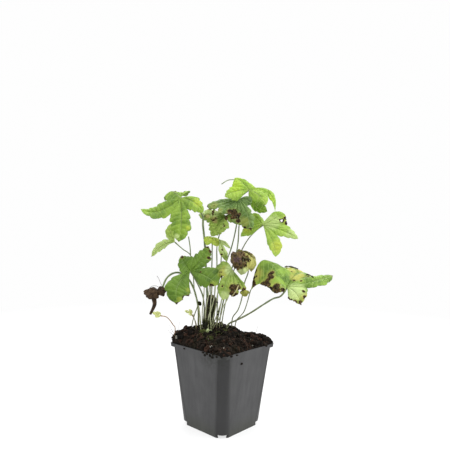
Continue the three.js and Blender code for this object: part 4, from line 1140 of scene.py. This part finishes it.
def wrinkled_ball(centre, size, folds, rows=72, columns=120):
    """A ball with its poles along Y. Its radius is 1 + (0.11 crease + 0.05 ripple) sin(down), and the
    crease is sin(folds around + 3 cos(down)) + 0.6 sin(3 around - 4 down)."""
    down = np.linspace(0, math.pi, rows)[:, None]
    around = np.arange(columns)[None] * 2 * math.pi / columns
    crease = np.sin(folds * around + 3 * np.cos(down)) + 0.6 * np.sin(3 * around - 4 * down)
    surface = np.stack(np.broadcast_arrays(
        np.sin(down) * np.cos(around), np.cos(down), np.sin(down) * np.sin(around)), axis=-1)
    swell = 1 + (0.11 * crease + 0.05 * ripple(surface, 0.5, folds)) * np.sin(down)
    points = np.array(centre) + surface * np.array(size) * swell[..., None]
    return turned(points.reshape(-1, 3)), grid_faces(rows, columns, closed=True)


def shred(points, radius, sides, ridges=0.0, ends=(1, 1), rough=(0, 4, 71)):
    """A dried strip along a curve: a tube whose radius goes between two shares from end to end, and
    is rough by a share, over a wavelength and from a seed."""
    line = course(points, SHRED_STEP)
    share, wavelength, seed = rough
    radius = radius * (1 + share * ripple(line, wavelength, seed)) * np.linspace(*ends, len(line))
    return tube(turned(line), radius, sides, ridges)


front_middle_skins = leaf_skins(
    "front_middle", ((160, 186, 84), (122, 150, 54), (190, 206, 128), (190, 192, 92)),
    ((158, 180, 104), (134, 160, 82), (186, 202, 136), (192, 190, 108)))
leaf(
    "leaf_front_middle", "leaf_pale", (10, -26, 184),
    (((-12, -12, 176), (-2, -18, 184), 0, (0.4, 0.4)),
     ((0, -36, 151), (3, -34, 169), 0, (0.26, 0.2)),
     ((14, -38, 155), (12, -36, 169), 0, (0.2, 0.16), 0.2),
     ((27, -30, 157), (19, -30, 170), 0, (0.12, 0.12))),
    ((-4, 4), (-2, 2, 131), (1, -5, 147), (6, -15, 167), (9, -23, 179), (10, -26, 184)),
    0.75, front_middle_skins, sinus=0.45, fold=12,
    brown=((0, 1, 0.55, 0.9, 1.2), (0, 1, 0.55, 0.4, 0.9), (1, -1, 0.7, 0.35, 1.2),
           (2, -1, 0.7, 0.2, 3.6), (2, -1, 0.85, 0.6, 3.0), (2, 1, 0.72, 0.85, 3),
           (2, 1, 0.95, 0.3, 3), (3, -1, 0.85, 0.15, 2.4), (3, -1, 0.93, 1.0, 2.0),
           (3, 1, 1.0, 0, 1.8), (0, -1, 0.79, 0.19, 0.9), (0, 1, 0.65, 0.35, 0.9)),
    yellow=((0, 1, 0.5, 0.5, 7), (1, 1, 0.92, 0.6, 4), (3, 1, 0.9, 0.5, 5)),
    toned=((1, 1, 0.92, 0.6, 6), (0, 1, 0.1, 0.3, 6)),
)
olive_skin = dried_skin("olive_skin", (104, 106, 42), (152, 154, 72), (184, 182, 112))
straw_skin = dried_skin("straw_skin", (138, 130, 88), (176, 170, 122), (196, 190, 146))
ball = wrinkled_ball((24.2, -31, 158.8), (4.6, 2.6, 3.4), 3, 36, 60)
strip = shred(((17, -36, 167.5), (14.5, -40, 162.5), (9.5, -38.5, 155.5)), 1, 8, 0.2, ends=(0.7, 0.45))
mesh_piece("front_middle_ball", ball, [olive_skin], "leaf_front_middle")
mesh_piece("front_middle_strip", strip, [straw_skin], "leaf_front_middle")


# Lower right leaf. Broad, domed and light green, reaching far to the right on a low bent stalk. Its
# edges are dry and brown, and have rolled into dark strips on two of its lobes.
lower_right_skins = leaf_skins(
    "lower_right", ((150, 184, 68), (84, 120, 28), (182, 204, 116), (196, 192, 96)),
    ((164, 190, 104), (138, 166, 80), (192, 208, 134), (200, 196, 104)))
leaf(
    "leaf_lower_right", "leaf_light", (72, -26, 165),
    (((85, -42, 148), (81, -38, 160), 0, (0.38, 0.38)),
     ((127, -14, 178), (100, -22, 171), 0, (0.16, 0.16)),
     ((105, 10, 172.5), (89, -1, 179), 0, (0.22, 0.26), 0.75),
     ((32, -22, 161), (47, -15, 195), 10, (0.36, 0.36), 0.9),
     ((57, -38, 160), (64, -37, 169), -20, (0.46, 0.42))),
    ((5, 2), (8, 2, 117.5), (15, 1, 121), (31, -6, 131), (48, -14, 144), (58, -18, 151), (65, -22, 154),
     (69, -25, 159), (72, -26, 165)),
    0.95, lower_right_skins, sinus=0.6, tooth=0.036,
    brown=((3, 1, 0.86, 0, 2.6), (3, 1, 0.9, 0.14, 2.6), (3, 1, 0.92, 0.58, 3.2), (3, -1, 0.97, 1.0, 3),
           (3, 1, 0.88, 1.0, 2.6), (3, 1, 0.63, 1.0, 3), (3, 1, 0.8, 0.6, 1.2), (4, -1, 0.6, 0.88, 4.6),
           (4, -1, 0.45, 0.88, 3.4), (4, -1, 0.35, 1.0, 2.2), (4, -1, 0.86, 1.0, 3), (4, 1, 0.9, 0.41, 4),
           (4, 1, 0.66, 0.7, 2.2), (4, -1, 0.72, 0.24, 3.6), (2, 1, 0.5, 0.3, 1.2), (2, 1, 0.66, 0.8, 1.4),
           (2, -1, 0.25, 0.6, 1.1), (1, 1, 0.4, 0.4, 1.5), (1, 1, 1.0, 0, 1.6), (1, 1, 0.6, 0.9, 1.8),
           (2, -1, 0.97, 0, 2.2), (2, 1, 1.0, 0.7, 2.2), (0, 1, 0.95, 0.2, 2.6), (0, -1, 0.7, 1.0, 2.2),
           (0, -1, 0.85, 1.0, 2.4), (0, 1, 0.65, 0.6, 1.6), (0, 1, 0.82, 0.7, 1.8), (0, -1, 0.5, 1.0, 1.6)),
    yellow=((3, 1, 0.85, 0.3, 8), (2, -1, 0.35, 0.4, 6), (2, -1, 0.5, 0.6, 4), (2, 1, 0.63, 0.5, 7),
            (2, 1, 0.8, 0.3, 6), (0, 1, 0.82, 0.7, 5), (0, -1, 0.66, 0.3, 5)),
    toned=((0, 1, 0.4, 0.4, 9), (0, -1, 0.5, 0.5, 8)),
)
DRIED_EDGES = (
    (((73, 2.5, 185.6), (77, 5, 186.2), (81, 6.5, 185.6), (85.5, 7.5, 184.4), (89.5, 7, 182.8)), 0.95),
    (((96, -12, 178.2), (99, -13.5, 178.6), (102, -15, 177.3), (104, -16.5, 175.8)), 0.7),
)
parts = [shred(points, radius, 8, 0.25, rough=(0.25, 4, 71)) for points, radius in DRIED_EDGES]
mesh_piece("lower_right_dried_edges", joined(parts), [stalk_black], "leaf_lower_right")


# Upper right leaf. Thin and yellow-green, hanging with one long lobe down and one to the right. A
# small hole with a brown rim has been eaten into its upper right lobe.
upper_right_skins = leaf_skins(
    "upper_right", ((192, 217, 106), (160, 193, 78), (210, 228, 138), (200, 212, 90)),
    ((176, 202, 112), (156, 184, 90), (204, 220, 144), (206, 206, 116)), through=(0.5, 0.4))
leaf(
    "leaf_upper_right", "leaf_light", (46, -2, 235),
    (((59, -22, 199), (56, -14, 218), 0, (0.14, 0.2), 0.5),
     ((85, -20, 220), (66, -10, 230), 0, (0.07, 0.1), 0.8),
     ((72, -2, 248), (60, 0, 243), 0, (0.1, 0.33), 0.25),
     ((34, 11, 249), (39, 7, 244), 0, (0.2, 0.2), 0.8),
     ((20, 4, 221), (32, 4, 230), 0, (0.2, 0.2))),
    ((-1, 18), (4, 16, 144), (15, 13, 187), (23, 11, 207), (30, 9, 219), (39, 5, 229), (46, -2, 235)),
    0.65, upper_right_skins, tooth=0.024,
    brown=((2, -1, 0.85, 1.0, 2.4), (2, -1, 0.56, 1.0, 2.2)),
    yellow=((4, -1, 0.7, 0.3, 5), (0, 1, 0.75, 0.5, 7)),
    toned=((2, -1, 0.3, 0.3, 9), (1, 1, 0.9, 0.2, 8)),
    holes=((2, -1, 0.6, 0.65, 1.7),),
)


# Dark middle leaf. Deep green and seen full on, high in the middle of the plant on an upright
# stalk. The points of its lower lobes have browned.
dark_middle_skins = leaf_skins(
    "dark_middle", ((126, 156, 78), (78, 112, 42), (160, 186, 118), (150, 160, 72)),
    ((132, 158, 86), (112, 138, 68), (160, 182, 110), (182, 184, 96)))
leaf(
    "leaf_dark_middle", "leaf_dark", (17, 4, 265),
    (((-22, 13, 257), (-3, 10, 262), 0, (0.22, 0.22)),
     ((-6, -6, 249), (5, 0, 257), 0, (0.26, 0.26)),
     ((17, -12, 235), (15, -4, 250), 0, (0.22, 0.22)),
     ((31, -14, 229), (26, -8, 250), 0, (0.26, 0.16)),
     ((31, -4, 259), (26, 1, 265), 0, (0.3, 0.3))),
    ((-7, 13), (0, 13, 150), (14, 13, 195), (17, 13, 212), (18, 13, 232), (19, 11, 252), (17, 4, 265)),
    0.75, dark_middle_skins, sinus=0.5,
    brown=((1, 1, 0.66, 0.94, 3), (2, -1, 0.6, 0.47, 3.4), (2, -1, 0.73, 0.04, 3.6),
           (2, 1, 0.89, 0.04, 2.6), (2, -1, 0.74, 0.58, 3), (2, 1, 0.64, 0.41, 1.3),
           (1, 1, 0.78, 1.0, 2.4), (3, -1, 0.91, 0.88, 1.6), (3, -1, 0.98, 0.41, 1.8),
           (0, 1, 0.99, 0, 1.8), (0, 1, 0.8, 0.4, 1.0)),
    yellow=((3, -1, 0.8, 0.5, 6), (0, 1, 0.8, 0.3, 5), (1, -1, 0.93, 0.7, 4)),
)


# Top leaf. The highest blade, thin and bright yellow-green where light comes through it. The lobe
# that hangs in shade has painted shade: spots of a darker green. A thin thread runs left from its
# upper lobe.
# The last upper colour, a darker green, is painted shade for the spots on the hanging lobe.
top_skins = leaf_skins(
    "top", ((190, 214, 100), (158, 190, 78), (214, 230, 142), (180, 210, 66), (112, 150, 44)),
    ((176, 206, 92), (150, 188, 66), (206, 224, 132), (210, 210, 112)), through=(0.55, 0.4))
leaf(
    "leaf_top", "leaf_light", (29, 8, 277),
    (((51, 0, 251.5), (36, 2, 259), 0, (0.22, 0.24)),
     ((49, -6, 259), (40, -2, 271), 0, (0.34, 0.28), 0.25),
     ((61, 8, 252), (53, 8, 273), 0, (0.05, 0.08)),
     ((12, 12, 292), (21, 12, 287), 0, (0.16, 0.05), 0.85),
     ((0, -2, 268), (13, 4, 275), 0, (0.05, 0.34))),
    ((-12, 21), (-6, 19, 153), (4, 18, 191), (9, 18, 206), (12, 18, 218), (15, 18, 234), (17, 18, 252),
     (18, 18, 268), (24, 14, 273), (29, 8, 277)),
    0.75, top_skins, sinus=0.5, tooth=0.04,
    brown=((4, -1, 0.93, 1.0, 1.2),),
    yellow=((2, -1, 0.78, 0.9, 4), (3, 1, 0.5, 0.8, 8)),
    # These toned spots are painted shade on the lobe that hangs in shade.
    toned=((0, -1, 0.72, 0.5, 5.5), (0, 1, 0.72, 0.5, 5.5), (0, -1, 0.95, 0.3, 4)),
    spurs=((0.5, ((14, 12, 290), (4, 12, 289), (-4, 10, 284))),),
)


# Middle green leaf. Small, dark and turned to the front between the tall stalks. It has begun to
# wither, so its blade is crumpled, with yellow and brown spots.
middle_green_skins = leaf_skins(
    "middle_green", ((164, 190, 84), (110, 142, 50), (178, 194, 118), (172, 162, 98)),
    ((138, 162, 90), (116, 142, 72), (166, 186, 114), (192, 192, 104)))
leaf(
    "leaf_middle_green", "leaf_green", (1, 0, 246),
    (((-31, 4, 246), (-14, 2, 247), 0, (0.16, 0.2), 0.75),
     ((-15, -4, 221), (-7.5, -2, 234), 0, (0.14, 0.25)),
     ((-4, -10, 225), (-1, -6, 236), 0, (0.3, 0.3)),
     ((15, -4, 237), (8, -3, 244), 0, (0.3, 0.3))),
    ((-11, 6), (-10, 5, 156), (-8, 5, 185), (-8, 5, 211), (-3, 5, 232), (1, 0, 246)),
    0.7, middle_green_skins,
    brown=((0, 1, 0.47, 0.65, 1.2), (1, -1, 0.35, 0.8, 1.4), (0, 1, 0.32, 0.6, 1.0), (2, 1, 0.7, 0.2, 1.2),
           (0, -1, 0.65, 1.0, 1.4), (2, 1, 0.38, 0.75, 1.2), (0, 1, 0.6, 0.1, 1.2), (0, -1, 0.5, 0.6, 1.6),
           (0, 1, 0.78, 0.3, 1.3)),
    yellow=((0, 1, 0.4, 0.6, 3.4), (1, -1, 0.4, 0.6, 2.6), (0, 1, 0.7, 0.3, 3)),
    toned=((0, -1, 0.83, 1.0, 5), (0, -1, 0.5, 0.4, 5)),
    mottled=0.22, sway=1.8, quilt=1.1, crumple=3.0,
)


# Yellow folded leaf. A small blade that is turning yellow but isn't dry yet. It hangs folded, like
# a pair of wings, on a thin stalk.
yellow_folded_skins = leaf_skins(
    "yellow_folded", ((196, 214, 86), (160, 190, 66), (214, 224, 126), (210, 212, 84)),
    ((200, 202, 98), (174, 186, 80), (218, 218, 132), (210, 204, 96)))
leaf(
    "leaf_yellow_folded", "leaf_withered", (-14, 4, 220),
    (((-20, -5, 210), (-18, -2, 218), 0, (0.34, 0.36)),
     ((-8, -5, 209), (-10, 0, 216), 0, (0.4, 0.4))),
    ((-15, 16), (-15, 12, 156), (-14, 9, 190), (-14, 7, 208), (-14, 4, 220)),
    0.7, yellow_folded_skins, sinus=0.35, tooth=0.04, sway=0.4,
)


# Narrow green leaf. Two narrow lobes of fresh green that hang side by side below the taller blades,
# on a thin straight stalk.
narrow_green_skins = leaf_skins(
    "narrow_green", ((160, 184, 92), (124, 152, 62), (186, 202, 120), (196, 196, 96)),
    ((148, 172, 94), (124, 150, 74), (176, 194, 120), (198, 196, 104)))
leaf(
    "leaf_narrow_green", "leaf_green", (-5, -2, 217),
    (((4, -12, 192), (-1, -8, 205), 0, (0.16, 0.16)),
     ((8, -2, 207), (1, -2, 213), 0, (0.16, 0.16))),
    ((-7, 0), (-6, -1, 158), (-3, -2, 191), (-3, -2, 205), (-5, -2, 217)),
    0.65, narrow_green_skins, sinus=0.3, tooth=0.03, sway=0.4,
    brown=((0, -1, 0.56, 0.25, 1.0), (0, -1, 0.67, 0.8, 1.2)),
    toned=((0, 1, 0.5, 0.5, 6), (1, 1, 0.6, 0.3, 6)),
)


# Brown curled leaf. It hangs in the middle of the plant, dried up and brown. Beside its blade are
# the crumpled ball that its left lobe has become, and the edges that have rolled up.
brown_curled_skins = leaf_skins(
    "brown_curled", ((150, 150, 84), (118, 112, 62), (172, 168, 108), (186, 184, 96)),
    ((128, 102, 76), (96, 76, 62), (150, 124, 92), (186, 180, 108)), through=(0.15, 0.15))
leaf(
    "leaf_brown_curled", "leaf_dead", (22, -14, 205),
    (((14, -20, 186), (12.5, -23, 198), 0, (0.2, 0.28)),
     ((20, -22, 178), (22, -32, 194), 0, (0.34, 0.34), 0.75),
     ((32, -16, 181), (34, -16, 196), 0, (0.16, 0.2))),
    ((11, 8), (12, 5, 124), (18, 0, 134), (22, -5, 148), (25, -10, 168), (29, -10, 181), (27, -9, 196),
     (22, -14, 205)),
    0.65, brown_curled_skins, tooth=0.04, sway=1.6, quilt=1.0,
    brown=((1, -1, 0.42, 0.8, 8), (1, -1, 0.66, 0.9, 7), (0, -1, 0.48, 0.5, 8), (0, 1, 0.8, 0.5, 6),
           (1, 1, 0.28, 0.7, 4), (1, 1, 0.6, 0.3, 3), (2, 1, 0.2, 0.8, 3)),
    yellow=((2, -1, 0.5, 0.6, 7), (1, 1, 0.8, 0.6, 8), (2, 1, 0.8, 0.3, 6)),
    toned=((1, -1, 0.95, 0.4, 5), (1, 1, 0.9, 0.4, 6)),
    crumple=2.6,
)
# Painted sheen: purplish patches laid over the curled ball's brown skin.
curled_skin = dried_skin("curled_skin", (44, 34, 22), (94, 78, 44), (126, 106, 64), (92, 70, 76))
ball = wrinkled_ball((15, -29, 196.2), (6.9, 7.5, 8.6), 6)
mesh_piece("curled_ball", ball, [curled_skin], "leaf_brown_curled")
ROLLED_EDGES = (
    (((16, -21, 205), (22, -19, 204.4), (27.3, -17.5, 203), (30.7, -16, 199.4), (33, -15.5, 194)), 1.7),
    (((21, -32, 198.5), (23, -30.6, 198.2), (27, -27, 197), (31, -21.5, 194.8)), 1.1),
    (((21, -33, 192), (23.5, -31, 192.5), (25.5, -29.5, 190.6), (25.8, -28.5, 187.5)), 1.0),
)
parts = [shred(points, radius, 12, 0.2, ends=(1.1, 0.7), rough=(0.2, 5, 74))
         for points, radius in ROLLED_EDGES]
rolled_skin = dried_skin("rolled_skin", (46, 44, 26), (98, 94, 46), (138, 136, 72))
mesh_piece("curled_rolls", joined(parts), [rolled_skin], "leaf_brown_curled")


# Seedlings. Two small pale leaves, each a blade of three round lobes on a thin pinkish stalk, come
# up at the heap's left corner.
tree, pitting, colour = grained("stalk_pink", 1100.0, 120.0, (158, 120, 88), (188, 158, 118))
stalk_pink = finish("stalk_pink", colour, 0.5, pitting, 0.05, through=(0.2, paint(200, 150, 110)))
seedling_skins = leaf_skins(
    "seedling", ((222, 226, 150), (204, 212, 128), (232, 234, 176), (226, 222, 140)),
    ((216, 220, 158), (200, 208, 140), (228, 230, 178), (222, 218, 146)))
SEEDLINGS = (
    ("seedling_left", (-71, -22, 130),
     (((-76, -17, 134), (-73, -20, 133), 0, (0.3, 0.3)),
      ((-80, -24, 133), (-76, -23, 133), 0, (0.28, 0.28)),
      ((-76, -28, 129), (-73, -25, 131), 0, (0.3, 0.3))),
     ((-56, -4), (-58, -8, 117), (-61, -13, 123), (-65, -18, 128), (-71, -22, 130))),
    ("seedling_right", (-37, 0, 128),
     (((-39, 6, 133), (-38, 3, 131), 0, (0.3, 0.3)),
      ((-45, -3, 132), (-41, -1, 131), 0, (0.3, 0.3)),
      ((-38, -8, 128), (-38, -4, 129), 0, (0.28, 0.28))),
     ((-31, 3), (-32, 2, 118), (-34, 1, 123), (-37, 0, 128))),
)
for name, apex, lobes, stalk in SEEDLINGS:
    leaf(name, "leaf_pale", apex, lobes, stalk, 0.5, seedling_skins, sinus=0.4, tooth=0.04, teeth=1,
         small=True, stalk_skin=stalk_pink, sway=0.1, quilt=0.05)


# Shrivelled leaf. It has dried up into two dark wrinkled balls at the end of a drooping stalk, with
# its last shred below them and two thin curls of its edge above.
SHRIVELLED_STALK = ((-29.5, 16), (-30, 14, 133), (-35, 12, 155), (-43, 9, 170), (-52, 3, 176.6),
                    (-60, -6, 176.6), (-66, -12, 171.5), (-69, -16, 164), (-70, -18, 159))
line, thick, shape = stalk_tube(SHRIVELLED_STALK, 1.1, 51)
mesh_piece("shrivelled_stalk", shape, [stalk_green], "leaf_shrivelled")
hairs_piece("shrivelled_hairs", line, thick, HAIR_COUNT, HAIR_LENGTH, 52, "leaf_shrivelled")
shrivelled = joined([
    wrinkled_ball((-80.5, -20, 155), (8.6, 6.5, 6.6), 5),
    wrinkled_ball((-70.5, -19, 157.5), (5, 5, 5.4), 4),
    shred(((-79, -20, 150), (-78, -20, 143), (-79.5, -20, 138), (-83, -20, 131)), 1, 10, 0.25, (2.4, 1.2)),
    shred(((-69, -19, 162), (-72, -19, 167), (-74, -19, 172), (-76, -19, 175)), 0.22, 5),
    shred(((-72, -19, 161), (-77, -19, 163.5), (-82, -19, 163), (-85, -19, 160)), 0.22, 5),
])
shrivelled_skin = dried_skin("shrivelled_skin", (42, 32, 24), (76, 58, 42), (104, 82, 58))
mesh_piece("shrivelled_blade", shrivelled, [shrivelled_skin], "leaf_shrivelled")
